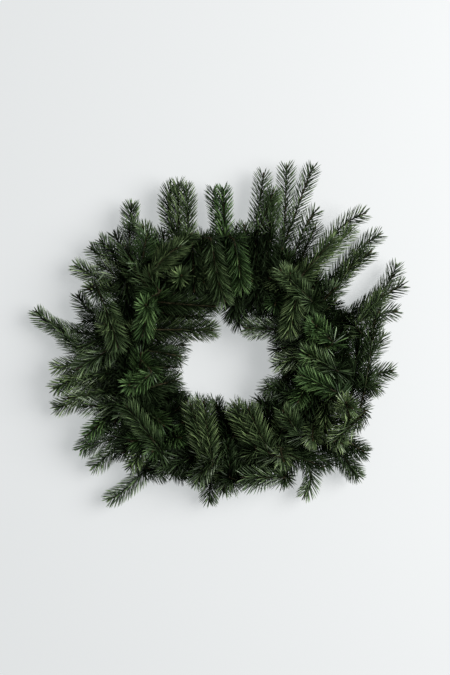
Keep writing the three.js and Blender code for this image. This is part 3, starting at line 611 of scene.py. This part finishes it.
# %% Model the bud
BUD_WIDTH = 2.6
BUD_LENGTH = 6.0
SHOULDER_AT = 0.2
SHOULDER_NARROWS = (0.7, 0.7, 1)
bpy.ops.object.select_all(action="DESELECT")
bpy.ops.mesh.primitive_uv_sphere_add(segments=6, ring_count=5, radius=BUD_WIDTH / 2)
bud = bpy.context.object
bpy.ops.object.mode_set(mode="EDIT")
bpy.ops.mesh.select_all(action="SELECT")
bpy.ops.transform.resize(value=(1, 1, BUD_LENGTH / BUD_WIDTH))
bpy.ops.mesh.select_all(action="DESELECT")
bpy.ops.object.mode_set(mode="OBJECT")
for vertex in bud.data.vertices:
    vertex.select = vertex.co.z > SHOULDER_AT * BUD_LENGTH
bpy.ops.object.mode_set(mode="EDIT")
bpy.ops.transform.resize(value=SHOULDER_NARROWS)
bpy.ops.object.mode_set(mode="OBJECT")
bud_places, bud_triangles = arrays(bud)
print("bud", len(bud_triangles), "triangles")
forget(bud)

# %% [markdown]
# ## Colour from hex
# Colours are picked as sRGB hex values, as in any paint program. Blender's shaders work in linear light,
# so one function turns them. A second small function adds a node to a material, with its settings and its
# inputs, where an input is either a value or the output of another node.

# %% Colour and node helpers


def linear(hex_colour):
    parts = [int(hex_colour[i : i + 2], 16) / 255 for i in (1, 3, 5)]
    return [p / 12.92 if p <= 0.04045 else ((p + 0.055) / 1.055) ** 2.4 for p in parts] + [1]


def add(tree, kind, inputs=None, **settings):
    node = tree.nodes.new(kind)
    for key, value in settings.items():
        setattr(node, key, value)
    for key, value in (inputs or {}).items():
        if isinstance(value, bpy.types.NodeSocket):
            tree.links.new(value, node.inputs[key])
        else:
            node.inputs[key].default_value = value
    return node


def new_material(name):
    material = bpy.data.materials.new(name)
    material.use_nodes = True
    material.node_tree.nodes.clear()
    return material, material.node_tree


def finish_material(tree, shader):
    add(tree, "ShaderNodeOutputMaterial", {"Surface": shader.outputs[0]})


print("linear of #808080", [round(c, 3) for c in linear("#808080")])

# %% [markdown]
# ## Needles
# A fir needle is a living leaf with a thick waxy skin: deep green, a little glossy, and paler and yellower
# towards its tip. Its colour turns near black where it leaves the twig, which is painted shade among the
# crowded needle bases. No two are the same green, and whole shoots differ too. So each needle carries two
# numbers on its points: how far along it a point is, and its shade, which holds its own random tone
# together with painted light and shade for where it lies in the wreath. The material mixes its greens by
# them, which keeps the pattern on the needle whichever way the shoot turns. A high shade paints the needle
# brighter and a little yellower. A low shade paints it dark, as painted shade for needles deep in the
# wreath, and takes away their shine as well. Where a model is handed on without that link, the shader's own
# value of middling shine is used.

# %% Needle materials
# Each tone gives root, body and tip greens. The near-black root green is painted shade.
NEEDLE_GREENS = {
    "deep": ("#0b1107", "#27381c", "#516542"),
    "olive": ("#0f160a", "#324426", "#61744b"),
    "blue": ("#0a1308", "#273c1c", "#4d693e"),
}
BODY_FROM = 0.35
# The shade number paints light and shade: it sets the needle's brightness, shifts its hue and sets its
# shine.
BRIGHTNESS = {"To Min": 0.11, "To Max": 2.4}
HUE = {"To Min": 0.51, "To Max": 0.485}
GLOSS = {"To Min": 0.05, "To Max": 0.7}
MIDDLING_GLOSS = 0.25
WAX_ROUGHNESS = 0.38
WAX_IOR = 1.5


def needle_material(tone, root, body, tip):
    material, tree = new_material(f"fir_needle_{tone}")
    along = add(tree, "ShaderNodeAttribute", attribute_name="along").outputs["Fac"]
    shade = add(tree, "ShaderNodeAttribute", attribute_name="shade").outputs["Fac"]
    ramp = add(tree, "ShaderNodeValToRGB", {"Fac": along})
    ramp.color_ramp.elements[0].color = linear(root)
    ramp.color_ramp.elements[1].color = linear(tip)
    ramp.color_ramp.elements.new(BODY_FROM).color = linear(body)
    brightness = add(tree, "ShaderNodeMapRange", {"Value": shade, **BRIGHTNESS})
    hue = add(tree, "ShaderNodeMapRange", {"Value": shade, **HUE})
    colour = add(
        tree,
        "ShaderNodeHueSaturation",
        {"Color": ramp.outputs["Color"], "Value": brightness.outputs[0], "Hue": hue.outputs[0]},
    )
    gloss = add(tree, "ShaderNodeMapRange", {"Value": shade, **GLOSS})
    shader = add(
        tree,
        "ShaderNodeBsdfPrincipled",
        {
            "Base Color": colour.outputs[0],
            "Roughness": WAX_ROUGHNESS,
            "IOR": WAX_IOR,
            "Specular IOR Level": gloss.outputs[0],
        },
    )
    shader.inputs["Specular IOR Level"].default_value = MIDDLING_GLOSS
    finish_material(tree, shader)
    return material


needle_materials = {tone: needle_material(tone, *greens) for tone, greens in NEEDLE_GREENS.items()}
print("needle materials", list(needle_materials))

# %% [markdown]
# ## Twig and bud
# Young fir bark is thin and matt, olive to red-brown, with fine ridges where needles were. A noise texture
# at a real size of 1.5 mm mottles its colour and raises it slightly. The buds are darker, with a dull
# shine of resin. Willow bark, for the ring, is smoother and browner, and its mottling is coarser.

# %% Bark and bud materials
FIR_MOTTLE = 0.0015
WILLOW_MOTTLE = 0.004
BARK_RIDGE = 0.0003
BARK_GLOSS = 0.2
ALL_DARK_BELOW = 0.35
ALL_LIGHT_ABOVE = 0.7


def bark_material(name, dark, light, roughness, mottle, bump):
    material, tree = new_material(name)
    place = add(tree, "ShaderNodeTexCoord").outputs["Object"]
    noise = add(tree, "ShaderNodeTexNoise", {"Vector": place, "Scale": 1 / mottle, "Detail": 3})
    ramp = add(tree, "ShaderNodeValToRGB", {"Fac": noise.outputs["Fac"]})
    ramp.color_ramp.elements[0].position = ALL_DARK_BELOW
    ramp.color_ramp.elements[1].position = ALL_LIGHT_ABOVE
    ramp.color_ramp.elements[0].color = linear(dark)
    ramp.color_ramp.elements[1].color = linear(light)
    ridges = {"Height": noise.outputs["Fac"], "Strength": bump, "Distance": BARK_RIDGE}
    raised = add(tree, "ShaderNodeBump", ridges)
    shader = add(
        tree,
        "ShaderNodeBsdfPrincipled",
        {
            "Base Color": ramp.outputs["Color"],
            "Roughness": roughness,
            "Specular IOR Level": BARK_GLOSS,
            "Normal": raised.outputs[0],
        },
    )
    finish_material(tree, shader)
    return material


twig_bark = bark_material("fir_twig_bark", "#2c2a1c", "#50472f", roughness=0.7, mottle=FIR_MOTTLE, bump=0.5)
bud_skin = bark_material("fir_bud", "#2c2617", "#443b24", roughness=0.5, mottle=FIR_MOTTLE, bump=0.4)
willow_bark = bark_material(
    "willow_bark", "#33271c", "#5a4630", roughness=0.75, mottle=WILLOW_MOTTLE, bump=0.6
)
print("bark materials", twig_bark.name, bud_skin.name, willow_bark.name)

# %% [markdown]
# ## Needles round a shoot
# Needles leave a shoot in a spiral, each 137.5 degrees round from the last, which spaces them evenly all
# round. They lean well out near the base of a shoot and less round its bud, where they are shorter too.
# Those above and below are combed a little towards the sides, and a few are missing, as on any cut sprig.
# Lengths are in millimetres and angles in degrees. Each needle gets its root, its length and three
# directions: where it points, where it bows to and where it is wide.

# %% Set needles
GOLDEN_ANGLE = 137.508
FIRST_NEEDLE = 5
LAST_NEEDLE = 1.5
RING_FREE = 12.5
LEAN_AT_BASE = 43
LEAN_AT_TIP = 30
LEAST_LEAN = 8
LEAN_RUFFLED = 0.5
TIP_ZONE = 14
SHORTER_AT_TIP = 0.7
LENGTH_VARIES = 0.8
UNEVEN = 0.4
COMBED = 0.6
MISSING = 0.04
ROOT_RAISED = 0.5
SEED = 7
random = np.random.default_rng(SEED)


def set_needles(shoot):
    walk = shoot["walk"]
    at = np.arange(FIRST_NEEDLE, walk["length"] - LAST_NEEDLE, shoot["spacing"])
    at = at + random.uniform(-UNEVEN, UNEVEN, len(at)) * shoot["spacing"]
    step = np.clip((at / walk["length"] * (len(walk["at"]) - 1)).astype(int), 0, len(walk["at"]) - 1)
    root, along, normal = walk["places"][step], walk["tangents"][step], walk["normals"][step]
    side = np.cross(along, normal)
    count = len(at)
    angle = np.radians(GOLDEN_ANGLE * np.arange(count) + random.normal(0, shoot["ruffled"], count))
    out = (normal * np.cos(angle)[:, None] + side * np.sin(angle)[:, None]) * [1, 1, COMBED]
    out -= along * (out * along).sum(1)[:, None]
    out /= np.linalg.norm(out, axis=1)[:, None]
    near_tip = np.clip(1 - (walk["length"] - at) / TIP_ZONE, 0, 1)
    lean = LEAN_AT_BASE + (LEAN_AT_TIP - LEAN_AT_BASE) * near_tip
    lean = np.maximum(LEAST_LEAN, lean + random.normal(0, LEAN_RUFFLED * shoot["ruffled"], count))
    lean = np.radians(lean)[:, None]
    length = shoot["long"] * (1 + (SHORTER_AT_TIP - 1) * near_tip)
    needles = {
        "at": at,
        "root": root + out * ROOT_RAISED,
        "length": (length + random.normal(0, LENGTH_VARIES, count)) * shoot.get("broad", 1),
        "direction": along * np.cos(lean) + out * np.sin(lean),
        "bow_to": out * np.cos(lean) - along * np.sin(lean),
    }
    needles["width_to"] = np.cross(needles["direction"], needles["bow_to"])
    keep = np.linalg.norm(from_tube(needles["root"]), axis=1) > RING_FREE
    keep &= random.uniform(0, 1, count) > MISSING
    return {key: values[keep] for key, values in needles.items()}


print("needles lean", LEAN_AT_BASE, "degrees, at the tip", LEAN_AT_TIP)

# %% [markdown]
# ## Copying the needle
# Tens of thousands of needles are too many to place with operators, so the needle's points are copied by
# arithmetic: each copy is scaled, turned to its own directions and moved to its root, all in one step for
# a whole shoot. None goes through the table. More than a quarter of them get a painted highlight, a
# brighter shade, and painted shade darkens those near the base of a shoot, deep in the wreath.

# %% Copy the needle
LOWEST = 0.4
# Painted shade near the base of a shoot, and painted highlights on a share of the needles.
BASE_SHADE_UP_TO = 0.6
BASE_SHADE_DEPTH = 0.75
PAINTED_HIGHLIGHT_SHARE = 0.28
PAINTED_HIGHLIGHT_NEEDLE = 1.9
UNHIGHLIT_NEEDLE = 0.5
SHADE_VARIES = 0.03
SHADE_VARIES_IN_LIGHT = 0.12


def grow_needles(shoot):
    own = set_needles(shoot)
    blade = needle_places[None] * [shoot["wide"], shoot["wide"], 1]
    longer = (own["length"] / NEEDLE_LENGTH)[:, None, None]
    points = (
        own["root"][:, None]
        + blade[:, :, 0:1] * own["width_to"][:, None]
        + blade[:, :, 1:2] * own["bow_to"][:, None]
        + blade[:, :, 2:3] * longer * own["direction"][:, None]
    )
    points[:, :, 2] = np.maximum(points[:, :, 2], LOWEST)
    count = len(points)
    # Painted highlights: a share of the needles get a brighter shade. Painted shade darkens needles near
    # the base.
    bright = random.uniform(0, 1, count) < PAINTED_HIGHLIGHT_SHARE
    base_shade = np.clip(1 - own["at"] / (BASE_SHADE_UP_TO * shoot["walk"]["length"]), 0, 1)
    shades = shoot["shade"] * np.where(bright, PAINTED_HIGHLIGHT_NEEDLE, UNHIGHLIT_NEEDLE) * (1 - BASE_SHADE_DEPTH * base_shade)
    shades += random.normal(0, SHADE_VARIES + SHADE_VARIES_IN_LIGHT * shoot["shade"], count)
    along_needle = np.tile(blade[0, :, 2] / NEEDLE_LENGTH, (count, 1))
    return points, along_needle, np.clip(shades, 0, 1)


print("share of bright needles", PAINTED_HIGHLIGHT_SHARE, "shade of those", PAINTED_HIGHLIGHT_NEEDLE, "of others", UNHIGHLIT_NEEDLE)

# %% [markdown]
# ## Twigs
# A twig is a long round thing that tapers to its bud, and the natural tool for that is a curve with a
# round bevel: each point of the curve gets its own radius. It is turned into a mesh when it is done. A
# bevel could be smooth, but a twig 2 or 3 mm thick among needles needs only a few sides.

# %% Twigs
MM = 0.001
TWIG_RADIUS = 1.6
TWIG_TIP_RADIUS = 0.8
SIDE_TWIG = 0.75
TWIG_STEP = 7
FEWEST_STOPS = 4


def draw_round(name, paths, material, closed=False, roundness=1):
    curve = bpy.data.curves.new(name, "CURVE")
    curve.dimensions = "3D"
    curve.bevel_depth = MM
    curve.bevel_resolution = roundness
    curve.use_fill_caps = not closed
    for places, radii in paths:
        spline = curve.splines.new("POLY")
        spline.points.add(len(places) - 1)
        spline.use_cyclic_u = closed
        for point, place, radius in zip(spline.points, places, radii):
            point.co = (*(np.array(place) * MM + RING_MIDDLE), 1)
            point.radius = radius
    thing = bpy.data.objects.new(name, curve)
    bpy.context.collection.objects.link(thing)
    only(thing)
    bpy.ops.object.convert(target="MESH")
    thing.data.materials.append(material)
    bpy.ops.object.shade_smooth()
    return thing


def twig_path(shoot):
    walk = shoot["walk"]
    count = max(FEWEST_STOPS, int(walk["length"] / TWIG_STEP))
    stops = np.linspace(0, len(walk["at"]) - 1, count).astype(int)
    thick = TWIG_RADIUS if shoot["leads"] else SIDE_TWIG * TWIG_RADIUS
    return walk["places"][stops], thick + (TWIG_TIP_RADIUS - thick) * walk["at"][stops] / walk["length"]


print("twigs", 2 * TWIG_RADIUS, "mm thick, at the bud", 2 * TWIG_TIP_RADIUS, "mm")

# %% [markdown]
# ## How light and how full each shoot is
# The sprigs at the upper right lie low over the table and are seen against it, so their needles stand apart
# like the teeth of a comb. The other outer sprigs are fuller. The shoots that make up the face have finer,
# longer and more ruffled needles, but those that stick up into the light show as rosettes of fewer and
# broader ones. Shoots that are mostly hidden have broad needles, which hide the ring with few triangles.
# Outer sprigs get a middling painted light in their needles' colour, inner ones less and those on the
# face most, unless a row or a sprig's own value says otherwise.

# %% Fullness and light
FULLNESS = {
    "open": {"spacing": 0.66, "wide": 1.4, "long": 22, "ruffled": 3},
    "outer": {"spacing": 0.47, "wide": 1.5, "long": 22, "ruffled": 3},
    "face": {"spacing": 0.36, "wide": 0.9, "long": 24.5, "ruffled": 7},
    "rosette": {"spacing": 0.6, "wide": 1.25, "long": 24.5, "ruffled": 8},
    "shaded": {"spacing": 0.42, "wide": 1.35, "long": 24.5, "ruffled": 8},
}
MOSTLY_HIDDEN = 0.21
STANDS_OUT = 0.9
OPEN_SPRIGS = [f"outer_sprig_{number:02d}" for number in range(1, 8)]
# Painted light and shade: these values set how bright the needles' colour is painted.
GROUP_LIGHT = {"outer": 0.68, "inner": 0.35, "face": 0.8}
SPRIG_LIGHT = {
    "inner_sprig_12": 0.05,
    "outer_sprig_23": 0.25,
    "face_sprig_14": 0.45,
    "outer_sprig_09": 0.5,
    "outer_sprig_14": 0.8,
    "outer_sprig_17": 0.8,
    "outer_sprig_18": 0.8,
    "outer_sprig_20": 0.85,
}
LIGHT_VARIES = 0.05


def fullness(shoot):
    if shoot["group"] == "face" and shoot["leads"] or shoot.get("light", 0) > STANDS_OUT:
        return "rosette"
    if shoot.get("light", 1) < MOSTLY_HIDDEN:
        return "shaded"
    if "light" in shoot or shoot["group"] != "outer":
        return "face"
    return "open" if shoot["name"] in OPEN_SPRIGS else "outer"


for shoot in everyone:
    shoot.update(FULLNESS[fullness(shoot)])
    light = shoot.get("light", SPRIG_LIGHT.get(shoot["name"], GROUP_LIGHT[shoot["group"]]))
    shoot["shade"] = float(np.clip(light + random.normal(0, LIGHT_VARIES), 0, 1))
print("kinds", {kind: sum(fullness(shoot) == kind for shoot in everyone) for kind in FULLNESS})

# %% [markdown]
# ## Dress each sprig
# A sprig is a single piece, so everything that grows on it goes into one mesh: the copies of the needle
# and of the bud first, with the numbers that their material reads, and then its twigs, which are joined to
# them. The piece takes the place of the sprig's solid.

# %% Copies of needles and buds
BUD_AHEAD = 0.25


def place_buds(own_shoots):
    places = []
    for shoot in own_shoots:
        walk = shoot["walk"]
        tangent, normal = walk["tangents"][-1], walk["normals"][-1]
        frame_of_bud = np.stack([normal, np.cross(tangent, normal), tangent])
        centre = walk["places"][-1] + BUD_AHEAD * BUD_LENGTH * tangent
        places.append(bud_places @ frame_of_bud + centre)
    return np.array(places)


def copies(places, triangles):
    count, size = places.shape[:2]
    faces = triangles[None] + (np.arange(count) * size)[:, None, None]
    return places.reshape(-1, 3), faces.reshape(-1, 3)


print("triangles for each copy", len(needle_triangles), len(bud_triangles))

# %% Mesh of a sprig


def sprig_mesh(name, own_shoots):
    places, along, shades = zip(*[grow_needles(shoot) for shoot in own_shoots])
    needles, needle_faces = copies(np.concatenate(places), needle_triangles)
    buds, bud_faces = copies(place_buds(own_shoots), bud_triangles)
    mesh = bpy.data.meshes.new(name)
    points = np.vstack([needles, buds]) * MM + RING_MIDDLE
    faces = np.vstack([needle_faces, bud_faces + len(needles)])
    mesh.from_pydata(points.tolist(), [], faces.tolist())
    for material in [*needle_materials.values(), bud_skin]:
        mesh.materials.append(material)
    tones = list(needle_materials)
    tone_of_shoot = [tones.index(shoot["tone"]) for shoot in own_shoots]
    tone_of_needle = np.repeat(tone_of_shoot, [len(each) for each in shades])
    material_index = np.repeat(tone_of_needle, len(needle_triangles)).tolist()
    mesh.polygons.foreach_set("material_index", material_index + [len(tones)] * len(bud_faces))
    on_buds = np.zeros(len(buds))
    per_point = {
        "along": [*map(np.ravel, along), on_buds],
        "shade": [np.repeat(np.concatenate(shades), len(needle_places)), on_buds],
    }
    for key, values in per_point.items():
        values = np.concatenate(values).astype(np.float32)
        mesh.attributes.new(key, "FLOAT", "POINT").data.foreach_set("value", values)
    return mesh


print("numbers on each point: along, shade")

# %% Dress the sprigs


def dress(name, own_shoots):
    piece = bpy.data.objects.new(name + "_fine", sprig_mesh(name + "_fine", own_shoots))
    bpy.context.collection.objects.link(piece)
    twigs = draw_round(name + "_twigs", [twig_path(shoot) for shoot in own_shoots], twig_bark)
    only(piece)
    twigs.select_set(True)
    bpy.ops.object.join()
    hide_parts(name)
    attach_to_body(piece, "root")
    return len(piece.data.polygons)


face_counts = []
for name in [shoot["name"] for shoot in shoots if shoot["leads"]]:
    face_counts.append(dress(name, [shoot for shoot in everyone if shoot["name"] == name]))
print("faces", sum(face_counts), "most", max(face_counts))

# %% [markdown]
# ## The ring of willow rods
# A wreath like this is built on a ring of thin willow rods that are laid side by side, twisted a little
# and bound. It hardly shows from above, but it does from below. A rod is long, round and smooth, so each
# is a curve with a round bevel again. Its path runs round the ring and slowly round the bundle too, and
# every rod is drawn in where a turn of wire bites into the bundle.

# %% Willow rods
ROD_COUNT = 9
ROD_RADIUS = 2.5
CORE_RADIUS = 5.2
BUNDLE_HALF_WIDTH = 7.9
BUNDLE_HALF_HEIGHT = 6.7
BUNDLE_MIDDLE = 9.4
ROD_TURNS = 2
ROD_WAVER = 5
WAVES = 3
WAVE_SHIFT = 2.3
THICKNESS_VARIES = 0.1
TIES_AT = [5, 40, 81, 127.5, 163.5, 205, 241, 282, 326.5]
TIE_WAIST = 0.2
TIE_REACH = 1.8
ROD_STEP = 1.5
ROUND_RING = np.arange(0, 360, ROD_STEP)


def in_bundle(at, turn, beyond=0):
    from_tie = min(abs((at - tie + 180) % 360 - 180) for tie in TIES_AT)
    size = 1 - TIE_WAIST * math.exp(-((from_tie / TIE_REACH) ** 2))
    width = (BUNDLE_HALF_WIDTH * size + beyond) * math.cos(math.radians(turn))
    height = (BUNDLE_HALF_HEIGHT * size + beyond) * math.sin(math.radians(turn))
    return outwards(at) * (RING_RADIUS + width) + [0, 0, BUNDLE_MIDDLE + height]


def rod_path(rod):
    start = 360 * rod / ROD_COUNT
    waver = np.sin(np.radians(WAVES * ROUND_RING + WAVE_SHIFT * start))
    turns = start + ROD_TURNS * ROUND_RING + ROD_WAVER * waver
    radii = ROD_RADIUS * (1 + THICKNESS_VARIES * waver)
    return [in_bundle(*place) for place in zip(ROUND_RING, turns)], radii


core_places = [outwards(at) * RING_RADIUS + [0, 0, BUNDLE_MIDDLE] for at in ROUND_RING]
bundle = [rod_path(rod) for rod in range(ROD_COUNT)] + [(core_places, [CORE_RADIUS] * len(ROUND_RING))]
rods = draw_round("willow_rods", bundle, willow_bark, closed=True, roundness=2)
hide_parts("willow_ring")
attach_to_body(rods, "root")
print("rods", ROD_COUNT, "faces", len(rods.data.polygons))

# %% [markdown]
# ## The binding wire
# Florist's wire is thin steel with a dark green lacquer, so that it can't be seen among needles. It makes
# one turn round the bundle at each tie and runs along its outer side to the next. The same curve tool
# draws it in one closed length.

# %% The wire's path
WIRE_RADIUS = 0.7
WIRE_RUN_AT = -20
WIRE_SLANT = 0.8
WIRE_BEYOND = ROD_RADIUS + WIRE_RADIUS
WIRE_TURN_STEP = 20
WIRE_RUN_STEP = 3.0
wire_path = []
for tie, following in zip(TIES_AT, [*TIES_AT[1:], TIES_AT[0] + 360]):
    for turn in range(WIRE_RUN_AT, WIRE_RUN_AT + 360, WIRE_TURN_STEP):
        slant = WIRE_SLANT * ((turn - WIRE_RUN_AT) / 180 - 1)
        wire_path.append(in_bundle(tie + slant, turn, WIRE_BEYOND))
    for at in np.arange(tie + 2 * WIRE_SLANT, following - 1.5 * WIRE_SLANT, WIRE_RUN_STEP):
        wire_path.append(in_bundle(at, WIRE_RUN_AT, WIRE_BEYOND))
print("wire points", len(wire_path))

# %% [markdown]
# ## Lacquer
# The wire's lacquer is a thin clear coat over green paint, smooth and fairly glossy, and handling has
# dulled it in places. Noise 4 mm across does that, by making it rougher there.

# %% Lacquer and wire
LACQUER_MOTTLE = 0.004
LACQUER_ROUGHNESS = {"To Min": 0.25, "To Max": 0.5}
LACQUER_COAT = 0.4
lacquer, tree = new_material("lacquered_wire")
place = add(tree, "ShaderNodeTexCoord").outputs["Object"]
noise = add(tree, "ShaderNodeTexNoise", {"Vector": place, "Scale": 1 / LACQUER_MOTTLE, "Detail": 2})
worn = add(tree, "ShaderNodeMapRange", {"Value": noise.outputs["Fac"], **LACQUER_ROUGHNESS})
shader = add(
    tree,
    "ShaderNodeBsdfPrincipled",
    {"Base Color": linear("#26402c"), "Roughness": worn.outputs[0], "Coat Weight": LACQUER_COAT},
)
finish_material(tree, shader)
wire_radii = [WIRE_RADIUS] * len(wire_path)
wire = draw_round("florist_wire", [(wire_path, wire_radii)], lacquer, closed=True, roundness=2)
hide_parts("binding_wire")
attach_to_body(wire, "root")
print("wire faces", len(wire.data.polygons))

# %% [markdown]
# ## The table
# The wreath lies on a smooth table painted a very pale grey. A matt white surface alone would be lit
# unevenly and would throw much light back up into the needles, where the real wreath is nearly black. So
# the paint is a middling grey and the rest of its lightness is a faint glow of its own, cool as daylight.

# %% Table
TABLE_SIZE = 20
TABLE_GLOW = 0.465
GLOW_COLOUR = (0.96, 1, 1.01, 1)
PAINT_ROUGHNESS = 0.8
bpy.ops.object.select_all(action="DESELECT")
bpy.ops.mesh.primitive_plane_add(size=TABLE_SIZE)
floor = bpy.context.object
floor.name = "floor"
material, tree = new_material("painted_table")
paint = {
    "Base Color": linear("#a2a2a2"),
    "Roughness": PAINT_ROUGHNESS,
    "Emission Color": GLOW_COLOUR,
    "Emission Strength": TABLE_GLOW,
}
finish_material(tree, add(tree, "ShaderNodeBsdfPrincipled", paint))
floor.data.materials.append(material)
print("table", TABLE_SIZE, "m")

# %% [markdown]
# ## The light
# The shadows in the photo are soft and fall to the left, so the light is a big window to the right. A
# round area lamp 2.4 m across and about 3 m away does the same. Little light comes from elsewhere, which
# is why the depth of the wreath is so dark, so the room round it is dim. Where the camera sees past the
# table, the room is shown as pale as the table is.

# %% Light
LAMP_PLACE = (2.05, 0.4, 2.05)
LAMP_SIZE = 2.4
LAMP_WATTS = 128
ROOM_COLOUR = (0.97, 0.985, 1.0, 1)
ROOM_LIGHT = 0.14
ROOM_SEEN = 0.52
world = bpy.data.worlds.new("pale_room")
world.use_nodes = True
bpy.context.scene.world = world
room = world.node_tree.nodes["Background"]
room.inputs["Color"].default_value = ROOM_COLOUR
seen = add(world.node_tree, "ShaderNodeLightPath").outputs["Is Camera Ray"]
brightness = {"Value": seen, "To Min": ROOM_LIGHT, "To Max": ROOM_SEEN}
strength = add(world.node_tree, "ShaderNodeMapRange", brightness)
world.node_tree.links.new(strength.outputs[0], room.inputs["Strength"])
lamp_data = bpy.data.lights.new("window", "AREA")
lamp_data.shape = "DISK"
lamp_data.size = LAMP_SIZE
lamp_data.energy = LAMP_WATTS
lamp = bpy.data.objects.new("window", lamp_data)
bpy.context.collection.objects.link(lamp)
lamp.location = LAMP_PLACE
lamp.rotation_euler = lamp.location.to_track_quat("Z", "Y").to_euler()
bpy.context.scene.view_settings.view_transform = "Standard"
print("lamp", LAMP_WATTS, "W at", LAMP_PLACE)
